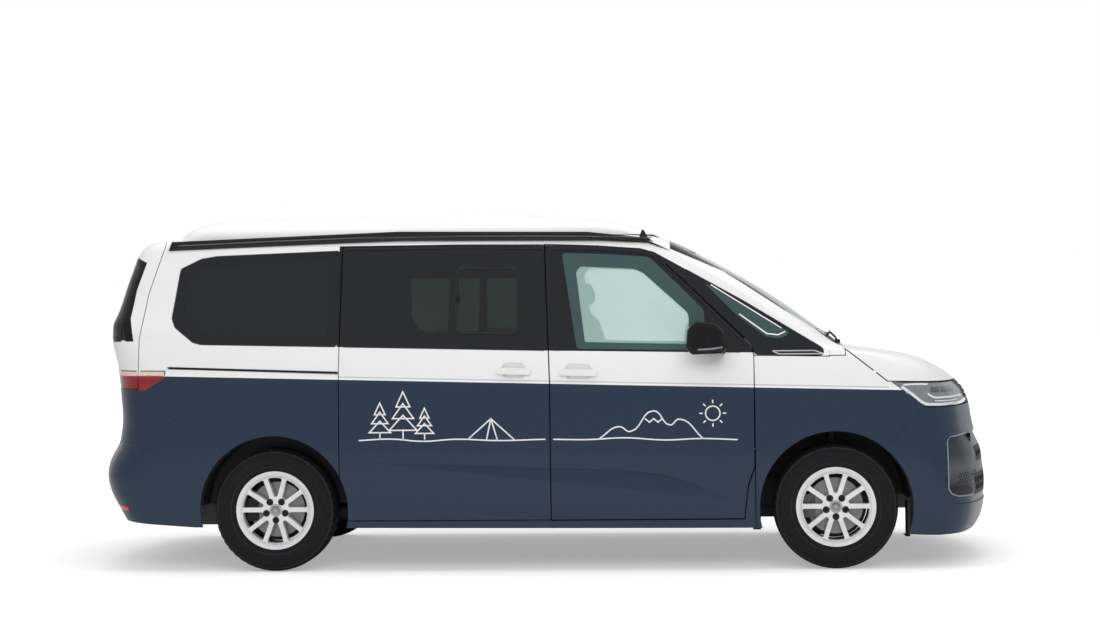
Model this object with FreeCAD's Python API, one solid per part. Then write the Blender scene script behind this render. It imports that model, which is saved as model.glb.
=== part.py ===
import FreeCAD, Part
import math
import os

# A camper van with a lifting roof, built from separate bodies. X points to the front, Y to the
# left and Z up. The origin is on the ground, at the middle of the body's length and width.

V = FreeCAD.Vector

overall_length = 5173.0
wheelbase = 3124.0
front_overhang = 930.0
body_width = 1941.0
overall_height = 1990.0
wheel_track = 1630.0

tyre_diameter = 686.0
tyre_width = 215.0
rim_diameter = 440.0
rim_well_diameter = 372.0
rim_width = 178.0
bolt_circle_diameter = 112.0
spoke_pairs = 5
brake_disc_diameter = 310.0
brake_disc_thickness = 24.0

wall_thickness = 60.0
roof_thickness = 26.0
door_skin = 12.0
bonnet_thickness = 34.0
bumper_thickness = 16.0
fender_thickness = 9.0
glass_thickness = 4.0
glass_seat = 0.5
pane_gap = 2.5
panel_gap = 5.0
seam_gap = 0.8
lamp_depth = 60.0
door_gap = 7.5
door_flange = 18.0
face_clearance = 0.4
cutter_overrun = 80.0

nose_radius = 1840.0
nose_corner_radius = 330.0
screen_radius = 3500.0
screen_corner_radius = 130.0
tail_radius = 2200.0
tail_upper_radius = 3900.0
tail_corner_radius = 230.0
tail_upper_corner_radius = 150.0
flank_radius = 60000.0
belt_fall_share = 0.029

arch_radius = 420.0
arch_liner_thickness = 4.0
arch_liner_gap = 5.0
front_arch_depth = 460.0

floor_height = 470.0
floor_thickness = 28.0
firewall_thickness = 14.0

pop_top_wall = 22.0

front_axle = overall_length / 2 - front_overhang
rear_axle = front_axle - wheelbase
rear_overhang = overall_length - front_overhang - wheelbase
half_width = body_width / 2
axle_height = tyre_diameter / 2
wheel_offset = wheel_track / 2

# Levels of the outer skin: height, front end, rear end, half width, lean and windscreen shape.
# Each ring leans with the belt line, and its front and rear ends are places along the van.
lower_ring_shares = [
    (0.0452, 0.8532, -1.8691, 0.9583, 1, 0),
    (0.0854, 0.8855, -1.8914, 0.9665, 1, 0),
    (0.1206, 0.9199, -1.9227, 0.9737, 1, 0),
    (0.1558, 0.9661, -1.9584, 0.9799, 1, 0),
    (0.191, 0.9855, -1.9879, 0.9871, 1, 0),
    (0.2312, 0.9984, -2, 0.9923, 1, 0),
    (0.2814, 1, -1.9772, 0.9974, 1, 0),
    (0.3216, 0.9887, -1.9388, 1, 1, 0),
    (0.3518, 0.9801, -1.9272, 1, 1, 0),
    (0.3869, 0.9478, -1.92, 0.9995, 1, 0),
    (0.4322, 0.9199, -1.9227, 0.9964, 1, 0),
    (0.4774, 0.9038, -1.929, 0.9923, 1, 0),
    (0.5075, 0.8833, -1.9334, 0.9892, 1, 0),
    (0.5236, 0.8661, -1.937, 0.9902, 1, 0),
]
upper_ring_shares = [
    (0.5307, 0.8532, -1.9388, 0.9851, 1, 0),
    (0.5477, 0.8156, -1.9406, 0.9809, 1, 0),
    (0.5653, 0.7694, -1.9406, 0.9758, 1, 0.109),
    (0.5829, 0.7113, -1.9388, 0.9696, 1, 0.261),
    (0.6005, 0.6328, -1.937, 0.9624, 1, 0.413),
    (0.6141, 0.5468, -1.9343, 0.9562, 1, 0.53),
    (0.6241, 0.4339, -1.9316, 0.95, 1, 0.617),
    (0.6312, 0.3048, -1.9298, 0.9459, 1, 0.678),
    (0.6372, 0.1866, -1.9272, 0.9428, 1, 0.73),
    (0.6482, 0.1027, -1.9227, 0.9377, 1, 0.826),
    (0.6683, 0.0167, -1.9155, 0.9284, 0.833, 1),
    (0.7136, -0.0437, -1.8959, 0.9098, 0.333, 1),
    (0.7638, -0.0959, -1.8691, 0.8872, 0, 1),
    (0.8141, -0.1471, -1.8405, 0.8635, 0, 1),
    (0.8643, -0.2044, -1.8083, 0.8367, 0, 1),
    (0.8995, -0.246, -1.7842, 0.815, 0, 1),
    (0.9196, -0.2726, -1.7574, 0.7986, 0, 1),
    (0.9322, -0.2966, -1.7216, 0.7749, 0, 1),
    (0.9387, -0.319, -1.6814, 0.7439, 0, 1),
]

# Side outlines of the panels, as places along the van and heights.
front_door_shares = [
    (-0.5011, 0.1447), (-0.1621, 0.1447), (-0.1551, 0.2362), (-0.1432, 0.2889), (-0.142, 0.595),
    (-0.1468, 0.6231), (-0.3151, 0.8829), (-0.3401, 0.8945), (-0.4182, 0.9045), (-0.5104, 0.9106),
    (-0.5008, 0.5221)]
sliding_door_shares = [
    (-0.5034, 0.1447), (-0.8792, 0.1447), (-0.8792, 0.5392), (-0.8769, 0.9126), (-0.6583, 0.9136),
    (-0.5126, 0.9106), (-0.5034, 0.5221)]
front_window_shares = [
    (-0.4525, 0.6181), (-0.2005, 0.609), (-0.1973, 0.6683), (-0.3094, 0.8603), (-0.4022, 0.8829),
    (-0.4822, 0.8874)]
front_glass_shares = [
    (-0.4614, 0.6141), (-0.1621, 0.603), (-0.1564, 0.6231), (-0.3151, 0.8729), (-0.3401, 0.8834),
    (-0.4182, 0.8925), (-0.5008, 0.8955), (-0.5008, 0.6141)]
sliding_glass_shares = [
    (-0.5053, 0.6141), (-0.8779, 0.6307), (-0.8756, 0.902), (-0.6583, 0.903), (-0.5142, 0.8975)]
sliding_window_shares = [
    (-0.5206, 0.6342), (-0.8632, 0.6492), (-0.8616, 0.8794), (-0.6583, 0.8804), (-0.5277, 0.8754)]
rear_glass_shares = [
    (-0.8827, 0.6312), (-1.3651, 0.6417), (-1.4088, 0.6482), (-1.5027, 0.6915), (-1.5206, 0.7171),
    (-1.4848, 0.8573), (-1.382, 0.8854), (-1.3016, 0.8925), (-0.8808, 0.903)]
rear_window_shares = [
    (-0.8984, 0.6533), (-1.3508, 0.6623), (-1.4535, 0.7035), (-1.4669, 0.7236), (-1.4401, 0.8392),
    (-1.3686, 0.8623), (-0.8984, 0.8784)]
pillar_cover_shares = [
    (-0.1391, 0.596), (-0.0078, 0.591), (-0.0226, 0.6161), (-0.1564, 0.7457), (-0.2636, 0.8412),
    (-0.3023, 0.8724), (-0.1436, 0.6261)]
quarter_window_shares = [
    (-0.1711, 0.7085), (-0.1183, 0.6452), (-0.0933, 0.6402), (-0.0757, 0.6563), (-0.1525, 0.7286),
    (-0.2278, 0.8)]
windscreen_shares = [
    (-0.2863, 0.8965), (-0.1913, 0.8317), (-0.0847, 0.7206), (-0.0101, 0.6482), (0.0683, 0.6482),
    (0.0683, 0.7538), (-0.1781, 0.9548), (-0.2863, 0.9548)]
windscreen_hole_shares = [
    (-0.2646, 0.8995), (-0.1913, 0.8492), (-0.0847, 0.7377), (-0.0197, 0.6658), (0.0683, 0.6658),
    (0.0683, 0.7538), (-0.1781, 0.9548), (-0.2646, 0.9548)]
cowl_shares = [
    (-0.0085, 0.593), (0.0651, 0.593), (0.0651, 0.6683), (-0.0181, 0.6683), (-0.0181, 0.6452),
    (-0.0075, 0.6322)]
bonnet_shares = [
    (0.0704, 0.6101), (0.3113, 0.5206), (0.736, 0.5146), (1.2296, 0.5075), (1.2296, 0.6683),
    (0.0704, 0.6683)]
fender_shares = [
    (-0.1404, 0.0754), (-0.1404, 0.593), (-0.0078, 0.5884), (-0.0053, 0.6342), (0.0651, 0.6342),
    (0.0651, 0.608), (0.307, 0.5181), (0.4231, 0.5156), (0.5414, 0.4824), (0.5414, 0.4422),
    (0.5177, 0.4422), (0.2984, 0.3367), (0.2984, 0.0754)]
fender_zone_shares = [
    (-0.1404, 0), (-0.1404, 0.593), (-0.0078, 0.5884), (-0.0053, 0.6342), (0.2618, 0.6342),
    (0.2618, 0)]
front_bumper_shares = [
    (0.2984, 0.0503), (0.2984, 0.3397), (0.5177, 0.4452), (1.2296, 0.4452), (1.2296, 0.0503)]
headlamp_shares = [
    (0.3328, 0.5166), (0.7403, 0.5116), (1.2296, 0.5045), (1.2296, 0.4482), (0.5253, 0.4482),
    (0.3758, 0.5015)]
tailgate_shares = [
    (-1.5751, 1.0553), (-1.5751, 0.9206), (-1.6483, 0.7849), (-1.685, 0.6618), (-1.6903, 0.5196),
    (-2.2802, 0.5196), (-2.2802, 1.0553)]
tailgate_lower_shares = [(-1.744, 0.5226), (-1.744, 0.3693), (-2.2802, 0.3693), (-2.2802, 0.5226)]
tail_lamp_shares = [
    (-2.2802, 0.5724), (-1.5518, 0.5548), (-1.5518, 0.5467), (-1.6492, 0.5156), (-2.2802, 0.5156)]
rear_bumper_shares = [
    (-1.6948, 0.5005), (-1.2587, 0.3467), (-1.2587, 0.0503), (-2.2802, 0.0503), (-2.2802, 0.3668),
    (-1.6948, 0.3668)]
tail_blade_shares = [
    (-1.7842, 0.8894), (-1.7011, 0.8653), (-1.7547, 0.7633), (-1.7717, 0.6965), (-1.7574, 0.6533),
    (-1.7136, 0.6533), (-1.7332, 0.7186), (-1.71, 0.799), (-1.6653, 0.8769), (-1.7708, 0.9045)]
rail_slot_shares = [(-1.5366, 0.5804), (-0.8776, 0.5588), (-0.8776, 0.5528), (-1.5366, 0.5744)]
crease_scoop_shares = [
    (-0.8273, 0.3075), (-0.4854, 0.2874), (-0.3721, 0.2804), (-0.335, 0.2749), (-0.2979, 0.2658),
    (-0.2726, 0.2538), (-0.2489, 0.2397), (-0.2133, 0.2171), (-0.1778, 0.194), (-0.1778, 0.1658),
    (-0.8273, 0.1658)]
bumper_recess_shares = [
    (0.6403, 0.3467), (0.6651, 0.3598), (1.2296, 0.3769), (1.2296, 0.1658), (0.6812, 0.1769),
    (0.6403, 0.201)]
sliding_pane_shares = [(-0.6705, 0.8492), (-0.5597, 0.8462), (-0.5597, 0.6643), (-0.6692, 0.6663)]
front_handle_shares = [(-0.4848, 0.5457), (-0.4176, 0.5427), (-0.4176, 0.5608), (-0.4848, 0.5638)]
front_cup_shares = [(-0.4739, 0.5337), (-0.4285, 0.5317), (-0.4285, 0.5759), (-0.4739, 0.5779)]
sliding_handle_shares = [(-0.5959, 0.5508), (-0.536, 0.5482), (-0.536, 0.5663), (-0.5959, 0.5688)]
sliding_cup_shares = [(-0.5866, 0.5387), (-0.5456, 0.5367), (-0.5456, 0.5809), (-0.5866, 0.5829)]
mirror_shares = [
    (-0.189, 0.603), (-0.1948, 0.6623), (-0.2101, 0.6864), (-0.2422, 0.6915), (-0.2575, 0.6714),
    (-0.2607, 0.6161), (-0.2511, 0.6)]
seat_cushion_shares = [
    (-0.4022, 0.3709), (-0.2511, 0.3749), (-0.2412, 0.4), (-0.2486, 0.4291), (-0.3254, 0.4221),
    (-0.399, 0.4191)]
seat_back_shares = [
    (-0.3958, 0.402), (-0.3856, 0.4472), (-0.4227, 0.6281), (-0.4368, 0.7035), (-0.4502, 0.7206),
    (-0.472, 0.7136), (-0.4739, 0.6784), (-0.4374, 0.4824), (-0.431, 0.407)]
seat_head_shares = [
    (-0.44, 0.7417), (-0.4368, 0.7688), (-0.4464, 0.8101), (-0.4617, 0.8141), (-0.4701, 0.7839),
    (-0.4643, 0.7417)]
bench_cushion_shares = [
    (-1.1542, 0.3829), (-0.8952, 0.3879), (-0.8849, 0.4151), (-0.8945, 0.4492), (-1.029, 0.4442),
    (-1.1542, 0.4382)]
bench_back_shares = [
    (-1.1363, 0.4271), (-1.1184, 0.4623), (-1.2078, 0.6281), (-1.2703, 0.7337), (-1.3257, 0.7447),
    (-1.3579, 0.7186), (-1.2882, 0.5528), (-1.2453, 0.4322)]
dashboard_shares = [
    (-0.117, 0.4422), (-0.1717, 0.4523), (-0.1941, 0.5025), (-0.1903, 0.5528), (-0.1794, 0.5779),
    (-0.1525, 0.591), (-0.0309, 0.5854), (-0.0309, 0.5528)]
tailgate_glass_shares = [
    (-1.7261, 0.8543), (-1.7708, 0.7538), (-1.7842, 0.6533), (-2.2802, 0.6533), (-2.2802, 0.8543)]
underside_shares = [
    (-2.2802, 0), (-2.2802, 0.1508), (-1.9629, 0.1487), (-1.4088, 0.1266), (-0.8619, 0.1236),
    (-0.1397, 0.1176), (0.4554, 0.0955), (0.6059, 0.0915), (1.3371, 0.0915), (1.3371, 0)]
roof_edge_shares = [
    (-1.744, 0.9161), (-0.4342, 0.9161), (-0.3318, 0.9121), (-0.287, 0.902), (-0.2101, 0.902),
    (-0.2101, 1.0553), (-1.744, 1.0553)]
roof_fin_shares = [
    (-0.343, 0.9226), (-0.3369, 0.9508), (-0.3331, 0.9497), (-0.3254, 0.9276), (-0.3062, 0.907),
    (-0.3318, 0.9121)]
roof_rail_shares = [
    (-1.5527, 0.9101), (-1.5357, 0.9357), (-0.7735, 0.9553), (-0.4342, 0.9467), (-0.3382, 0.9296),
    (-0.2847, 0.8899), (-0.3254, 0.9131), (-0.4115, 0.9216), (-0.7735, 0.9296)]
b_pillar_shares = [(-0.527, 0.1281), (-0.4758, 0.1281), (-0.4822, 0.9196), (-0.527, 0.9196)]
a_post_shares = [(-0.1391, 0.1206), (-0.1045, 0.1206), (-0.1045, 0.592), (-0.1391, 0.593)]


def along(share):
    if share >= 0:
        return front_axle + share * front_overhang
    if share >= -1:
        return front_axle + share * wheelbase
    return rear_axle + (share + 1) * rear_overhang


def up(share):
    return share * overall_height


def out(share):
    return share * half_width


def mixed(first, second, share):
    return first + (second - first) * share


def meeting(first, first_radius, second, second_radius):
    # The two centres at which circles of these radii round two given points meet.
    reach = second - first
    span = reach.Length
    foot = (first_radius ** 2 - second_radius ** 2 + span ** 2) / (2 * span)
    rise = math.sqrt(max(first_radius ** 2 - foot ** 2, 0))
    unit = reach / span
    side = V(-unit.y, unit.x, 0)
    middle = first + unit * foot
    return [middle + side * rise, middle - side * rise]


def arc_points(centre, radius, start, end, count):
    turn = (end - start) / count
    return [centre + V(math.cos(start + turn * i), math.sin(start + turn * i), 0) * radius
            for i in range(count)]


def half_plan(front, rear, half, radii, flank, counts):
    # Half a ring seen from above: nose arc, corner, long flank arc, corner and tail arc.
    nose, nose_corner, tail, tail_corner = radii
    nose_centre = V(front - nose, 0, 0)
    tail_centre = V(rear + tail, 0, 0)
    flank_centre = V((front + rear) / 2, half - flank, 0)
    ahead = meeting(nose_centre, nose - nose_corner, flank_centre, flank - nose_corner)
    behind = meeting(tail_centre, tail - tail_corner, flank_centre, flank - tail_corner)
    front_corner = max(ahead, key=lambda p: (p.y > 0, p.x))
    rear_corner = max(behind, key=lambda p: (p.y > 0, -p.x))
    turns = [math.atan2(front_corner.y, front_corner.x - nose_centre.x),
             math.atan2(front_corner.y - flank_centre.y, front_corner.x - flank_centre.x),
             math.atan2(rear_corner.y - flank_centre.y, rear_corner.x - flank_centre.x),
             math.atan2(rear_corner.y, rear_corner.x - tail_centre.x)]
    nose_count, corner_count, flank_count = counts
    points = arc_points(nose_centre, nose, 0, turns[0], nose_count)
    points += arc_points(front_corner, nose_corner, turns[0], turns[1], corner_count)
    points += arc_points(flank_centre, flank, turns[1], turns[2], flank_count)
    points += arc_points(rear_corner, tail_corner, turns[2], turns[3], corner_count)
    points += arc_points(tail_centre, tail, turns[3], math.pi, nose_count)
    return points + [V(rear, 0, 0)]


def right_half(points):
    return [V(p.x, -p.y, p.z) for p in points]


def ring_parameters(points):
    lengths = [0.0]
    for one, other in zip(points, points[1:]):
        lengths.append(lengths[-1] + math.sqrt((other - one).Length))
    return [length / lengths[-1] for length in lengths]


ring_counts = (5, 5, 8)


def skin_ring(shares, inset, drop):
    height, front, rear, half, lean, screen = shares
    radii = [mixed(nose_radius, screen_radius, screen) - inset,
             mixed(nose_corner_radius, screen_corner_radius, screen) - inset,
             mixed(tail_radius, tail_upper_radius, screen) - inset,
             mixed(tail_corner_radius, tail_upper_corner_radius, screen) - inset]
    points = half_plan(along(front) - inset, along(rear) + inset, out(half) - inset,
                       radii, flank_radius - inset, ring_counts)
    fall = belt_fall_share * lean
    return right_half([V(p.x, p.y, up(height) - fall * p.x - drop) for p in points])


def ring_wire(points, parameters):
    # An open curve from the nose to the tail, square to the middle plane at both ends.
    curve = Part.BSplineCurve()
    curve.interpolate(Points=points, Parameters=parameters, InitialTangent=V(0, -1, 0),
                      FinalTangent=V(0, 1, 0))
    return Part.Wire([curve.toShape()])


def closed_form(bands):
    # The right half of a solid, smooth within each band of rings, with a crease between bands.
    faces = []
    for band in bands:
        faces += Part.makeLoft(band, False, False).Faces
    nose = []
    tail = []
    for face in faces:
        for edge in face.Edges:
            if abs(edge.BoundBox.YMin) + abs(edge.BoundBox.YMax) < middle_tolerance:
                (nose if edge.CenterOfMass.x > face.CenterOfMass.x else tail).append(edge)
    caps = []
    for ring in (bands[0][0], bands[-1][-1]):
        ends = [ring.Vertexes[0].Point, ring.Vertexes[-1].Point]
        closing = Part.makeLine(ends[0], ends[1])
        caps.append(closing)
        faces.append(Part.Face(Part.Wire(Part.sortEdges(ring.Edges + [closing])[0])))
    faces.append(Part.Face(Part.Wire(Part.sortEdges(nose + tail + caps)[0])))
    shell = Part.makeShell(faces)
    shell.sewShape()
    solid = Part.makeSolid(shell)
    if solid.Volume < 0:
        solid.reverse()
    return solid


middle_tolerance = 0.01


def body_form(inset, drop):
    parameters = ring_parameters(skin_ring(lower_ring_shares[6], 0, 0))
    lower = [ring_wire(skin_ring(r, inset, drop), parameters) for r in lower_ring_shares]
    upper = [ring_wire(skin_ring(r, inset, drop), parameters) for r in upper_ring_shares]
    return closed_form([lower, [lower[-1]] + upper])


def side_face(outline_shares, grow):
    points = [V(along(x), 0, up(z)) for x, z in outline_shares]
    face = Part.Face(Part.makePolygon(points + points[:1]))
    if grow == 0:
        return face
    return face.makeOffset2D(grow, 2)


def rounded_face(outline_shares, grow, radius):
    # The outline with its corners rounded, then grown or shrunk.
    face = side_face(outline_shares, 0).makeOffset2D(-radius, 2)
    return face.makeOffset2D(radius + grow, 0)


def spread(face, inner, outer):
    # A prism across the right side from one distance off the middle plane to another.
    face = face.copy()
    face.translate(V(0, -outer, 0))
    return face.extrude(V(0, outer - inner, 0))


far_out = body_width


def side_slab(outline_shares, grow, inner):
    return spread(side_face(outline_shares, grow), inner, far_out)


def half_slab(outline_shares, grow):
    return side_slab(outline_shares, grow, -cutter_overrun)


def whole(half):
    # A body that crosses the middle plane, from its right half.
    half = half.cut(box(-overall_length, overall_length, 0, far_out, -overall_height, overall_height * 2))
    return biggest(half.fuse(mirrored(half)).removeSplitter())


def mirrored(shape):
    return shape.mirror(V(0, 0, 0), V(0, 1, 0))


def carved(shape, tools):
    for tool in tools:
        shape = shape.cut(tool)
    return shape


def biggest(shape):
    return max(shape.Solids, key=lambda s: s.Volume)


def joined(shapes):
    if len(shapes) == 1:
        return shapes[0]
    return shapes[0].fuse(shapes[1:]).removeSplitter()


def box(x_from, x_to, y_from, y_to, z_from, z_to):
    return Part.makeBox(x_to - x_from, y_to - y_from, z_to - z_from, V(x_from, y_from, z_from))


def across(radius, x, z, y_from, y_to):
    return Part.makeCylinder(radius, y_to - y_from, V(x, y_from, z), V(0, 1, 0))


def rod(start, end, radius):
    return Part.makeCylinder(radius, (end - start).Length, start, end - start)


def save(name, shapes):
    shapes = [s for shape in shapes for s in shape.Solids]
    solid = shapes[0] if len(shapes) == 1 else Part.makeCompound(shapes)
    solid.exportStep("parts/" + name + ".step")


os.makedirs("parts", exist_ok=True)

skin = body_form(0, 0)
outside_form = body_form(-face_clearance, -face_clearance)
glass_form = body_form(glass_thickness, glass_thickness)
seat_form = body_form(glass_thickness + glass_seat, glass_thickness + glass_seat)
fender_form = body_form(fender_thickness, fender_thickness)
behind_fender_form = body_form(fender_thickness + face_clearance, fender_thickness + face_clearance)
door_form = body_form(door_skin, door_skin)
bumper_form = body_form(bumper_thickness, bumper_thickness)
lamp_form = body_form(lamp_depth, lamp_depth)
inner_form = body_form(wall_thickness, roof_thickness)
cabin_form = body_form(wall_thickness + face_clearance, roof_thickness + face_clearance)
under_bonnet_form = body_form(bonnet_thickness + face_clearance, bonnet_thickness + face_clearance)
wall = skin.cut(inner_form)


def arch_cutter(axle, grow, inner):
    return across(arch_radius + grow, axle, axle_height, -far_out, -inner)


def windscreen_seat():
    return half_slab(windscreen_shares, pane_gap).cut(seat_form)


def under_cutter():
    return half_slab(underside_shares, 0)


def skin_layer(solid, inner):
    return solid.common(skin).cut(inner)


def outer_layer(outline_shares, grow, radius, inner):
    # All that lies outside the seat of a pane, within the pane's outline.
    return spread(rounded_face(outline_shares, grow, radius), out(window_reach_share), far_out).cut(inner)


window_reach_share = 0.577
pane_corner_radius = 24.0
window_corner_radius = 40.0


def pane_cutters(outer_shares, inner_shares):
    seat = outer_layer(outer_shares, pane_gap, pane_corner_radius, seat_form)
    hole = spread(rounded_face(inner_shares, 0, window_corner_radius), out(window_reach_share), far_out)
    return [seat, hole]


def pane(outer_shares):
    prism = spread(rounded_face(outer_shares, 0, pane_corner_radius), out(window_reach_share), far_out)
    return skin_layer(prism, glass_form)


def stepped_door(outline_shares):
    # A door whose outer skin laps over its narrower inner part.
    door = side_slab(outline_shares, 0, out(window_reach_share)).common(wall)
    rim = side_slab(outline_shares, cutter_overrun, out(window_reach_share))
    rim = rim.cut(side_slab(outline_shares, -door_flange, out(window_reach_share) - cutter_overrun))
    return door.cut(rim.common(door_form))


def crease_scoop():
    # The low crease of the doors: the skin below it tips inwards, from nothing to the full depth.
    tipped = skin.copy()
    pivot = V(along(crease_pivot_share), -half_width, up(crease_height_share))
    tipped.rotate(pivot, V(1, 0, 0), -crease_tip_angle)
    tipped.rotate(pivot, V(0, 0, 1), crease_fade_angle)
    return side_slab(crease_scoop_shares, 0, out(window_reach_share)).cut(tipped)


crease_pivot_share = -0.4854
crease_height_share = 0.2477
crease_tip_angle = 4.35
crease_fade_angle = 0.48


def handle(outline_shares):
    # A pull handle, a rounded grip on two feet that stand in the door.
    face = rounded_face(outline_shares, 0, grip_corner_radius)
    block = spread(face, out(cup_floor_share), out(grip_face_share))
    rear, front = along(outline_shares[0][0]), along(outline_shares[1][0])
    return block.cut(box(rear + grip_foot_length, front - grip_foot_length, -out(grip_back_share), 0,
                         0, overall_height))


grip_corner_radius = 12.0
grip_foot_length = 26.0
cup_corner_radius = 30.0
cup_floor_share = 0.9655
grip_back_share = 0.9871
grip_face_share = 1.0046


def handle_cup(outline_shares):
    return spread(rounded_face(outline_shares, 0, cup_corner_radius), out(cup_floor_share), far_out)


def front_door():
    door = stepped_door(front_door_shares)
    door = carved(door, pane_cutters(front_glass_shares, front_window_shares))
    door = biggest(carved(door, [arch_cutter(front_axle, panel_gap, 0), crease_scoop(),
                                 handle_cup(front_cup_shares)]))
    return joined([door, handle(front_handle_shares)])


def sliding_door():
    door = side_slab(sliding_door_shares, 0, out(window_reach_share)).common(wall)
    door = carved(door, [arch_cutter(rear_axle, 0, 0), crease_scoop(), handle_cup(sliding_cup_shares)])
    door = biggest(carved(door, pane_cutters(sliding_glass_shares, sliding_window_shares)))
    return joined([door, handle(sliding_handle_shares)])


def body_side():
    side = wall.common(box(along(-1.744), along(0.0683), -far_out, -out(0.4431), 0, overall_height))
    cutters = [half_slab(tailgate_shares, panel_gap),
               windscreen_seat(),
               half_slab(windscreen_hole_shares, 0),
               half_slab(cowl_shares, face_clearance),
               side_slab(fender_zone_shares, panel_gap, 0),
               side_slab(rear_bumper_shares, seam_gap, 0),
               side_slab(tail_lamp_shares, face_clearance, 0),
               side_slab(front_door_shares, door_gap, 0),
               side_slab(sliding_door_shares, panel_gap, 0),
               half_slab(roof_edge_shares, 0),
               side_slab(rail_slot_shares, 0, out(window_reach_share)).cut(door_form),
               under_cutter(),
               arch_cutter(rear_axle, 0, 0)]
    cutters += pane_cutters(rear_glass_shares, rear_window_shares)
    cutters += pane_cutters(pillar_cover_shares, quarter_window_shares)
    return carved(side, cutters)


def a_post():
    # The post behind the wing, which carries the door and the windscreen pillar.
    post = side_slab(a_post_shares, 0, out(window_reach_share)).common(behind_fender_form)
    post = post.cut(inner_form)
    return biggest(post.cut(arch_cutter(front_axle, 0, 0)))


def rocker():
    # The sill behind the doors, which carries the floor, with its outer foot under the doors.
    tall = box(along(rocker_rear_share), along(rocker_front_share), -far_out, -out(rocker_inner_share),
               up(rocker_base_share), floor_height - floor_thickness - face_clearance).common(cabin_form)
    foot = box(along(rocker_rear_share), along(rocker_front_share), -far_out, -out(rocker_inner_share),
               up(rocker_base_share), up(rocker_foot_share)).common(seat_form)
    toe = box(along(rocker_rear_share), along(foot_front_share), -far_out, -out(rocker_inner_share),
              up(rocker_base_share), up(rocker_foot_share)).common(behind_fender_form)
    return tall.fuse([foot, toe.cut(arch_cutter(front_axle, 0, 0))])


rocker_rear_share = -0.8616
rocker_front_share = -0.1423
foot_front_share = -0.134
rocker_inner_share = 0.8243
rocker_base_share = 0.1256
rocker_foot_share = 0.1407


def b_pillar():
    post = side_slab(b_pillar_shares, 0, out(window_reach_share)).common(cabin_form)
    return post.cut(body_form(wall_thickness + panel_gap + pillar_depth, roof_thickness + panel_gap))


pillar_depth = 45.0


def fenders():
    wing = side_slab(fender_shares, 0, out(window_reach_share)).common(skin)
    wing = carved(wing, [fender_form, under_cutter(), half_slab(windscreen_shares, panel_gap),
                         half_slab(cowl_shares, panel_gap), arch_cutter(front_axle, 0, 0),
                         side_slab(headlamp_shares, seam_gap, 0),
                         side_slab(front_bumper_shares, seam_gap, 0)])
    return biggest(wing)


def roof_frame():
    roof = half_slab(roof_edge_shares, -face_clearance).common(wall)
    opening = box(along(opening_rear_share), along(opening_front_share), -out(opening_half_share),
                  cutter_overrun, 0, far_out * 2)
    roof = carved(roof, [opening, half_slab(tailgate_shares, panel_gap),
                         windscreen_seat(), half_slab(windscreen_hole_shares, 0)])
    for side_share in tailgate_hinge_shares:
        tab = box(along(tab_rear_share), along(tab_front_share), -out(side_share) - tab_width,
                  -out(side_share), up(tab_base_share), up(tab_top_share)).common(cabin_form)
        root = box(along(tab_root_share), along(tab_front_share), -out(side_share) - tab_width,
                   -out(side_share), up(tab_base_share), up(tab_top_share)).common(door_form)
        roof = roof.fuse([tab, root])
    return whole(roof)


tailgate_hinge_shares = [0.4534]
tab_rear_share = -1.6099
tab_root_share = -1.5688
tab_front_share = -1.5206
tab_base_share = 0.9121
tab_top_share = 0.9377
tab_width = 60.0


opening_rear_share = -1.3418
opening_front_share = -0.3926
opening_half_share = 0.577


def bonnet():
    lid = half_slab(bonnet_shares, 0).common(skin)
    return whole(lid.cut(body_form(bonnet_thickness, bonnet_thickness)))


def cowl():
    strip = half_slab(cowl_shares, 0).common(wall)
    strip = carved(strip, [windscreen_seat(), half_slab(windscreen_hole_shares, 0)])
    tab = box(along(hinge_rear_share), along(hinge_front_share), -out(hinge_side_share) - tab_width,
              -out(hinge_side_share), up(hinge_base_share), up(hinge_top_share)).common(under_bonnet_form)
    root = box(along(hinge_rear_share), along(hinge_root_share), -out(hinge_side_share) - tab_width,
               -out(hinge_side_share), up(hinge_base_share), up(hinge_top_share)).common(door_form)
    return whole(strip.fuse([tab, root]))


hinge_rear_share = -0.0005
hinge_root_share = 0.0629
hinge_front_share = 0.1274
hinge_side_share = 0.6595
hinge_base_share = 0.5779
hinge_top_share = 0.6342


def windscreen():
    return whole(half_slab(windscreen_shares, 0).common(skin).cut(glass_form))


def air_inlet(half_share, base_share, top_share, shrink):
    # The block that a wide air inlet takes out of the bumper.
    return box(along(inlet_rear_share), far_out * 2, -out(half_share) + shrink, cutter_overrun,
               up(base_share) + shrink, up(top_share) - shrink)


inlet_rear_share = 0.6812
lower_inlet = (0.7213, 0.195, 0.2543)
upper_inlet = (0.6182, 0.2844, 0.3266)


def front_bumper():
    cover = half_slab(front_bumper_shares, 0).common(skin).cut(half_slab(headlamp_shares, face_clearance))
    recess = half_slab(bumper_recess_shares, 0).cut(fender_form)
    cover = carved(cover, [bumper_form, under_cutter(), arch_cutter(front_axle, 0, 0), recess,
                           air_inlet(*lower_inlet, 0), air_inlet(*upper_inlet, 0)])
    return whole(cover)


def grille():
    # The band between the headlamps, with level grooves.
    band = half_slab(headlamp_shares, 0).common(skin)
    band = band.common(box(0, far_out * 2, -out(0.4874) + face_clearance, 0, 0, far_out)).cut(lamp_form)
    for share in groove_shares:
        groove = box(0, far_out * 2, -out(groove_half_share), cutter_overrun,
                     up(share), up(share) + groove_height)
        band = band.cut(groove.cut(door_form))
    return whole(band)


groove_shares = [0.4548, 0.4678, 0.4809, 0.494]
groove_half_share = 0.4688
groove_height = 14.0


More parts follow.
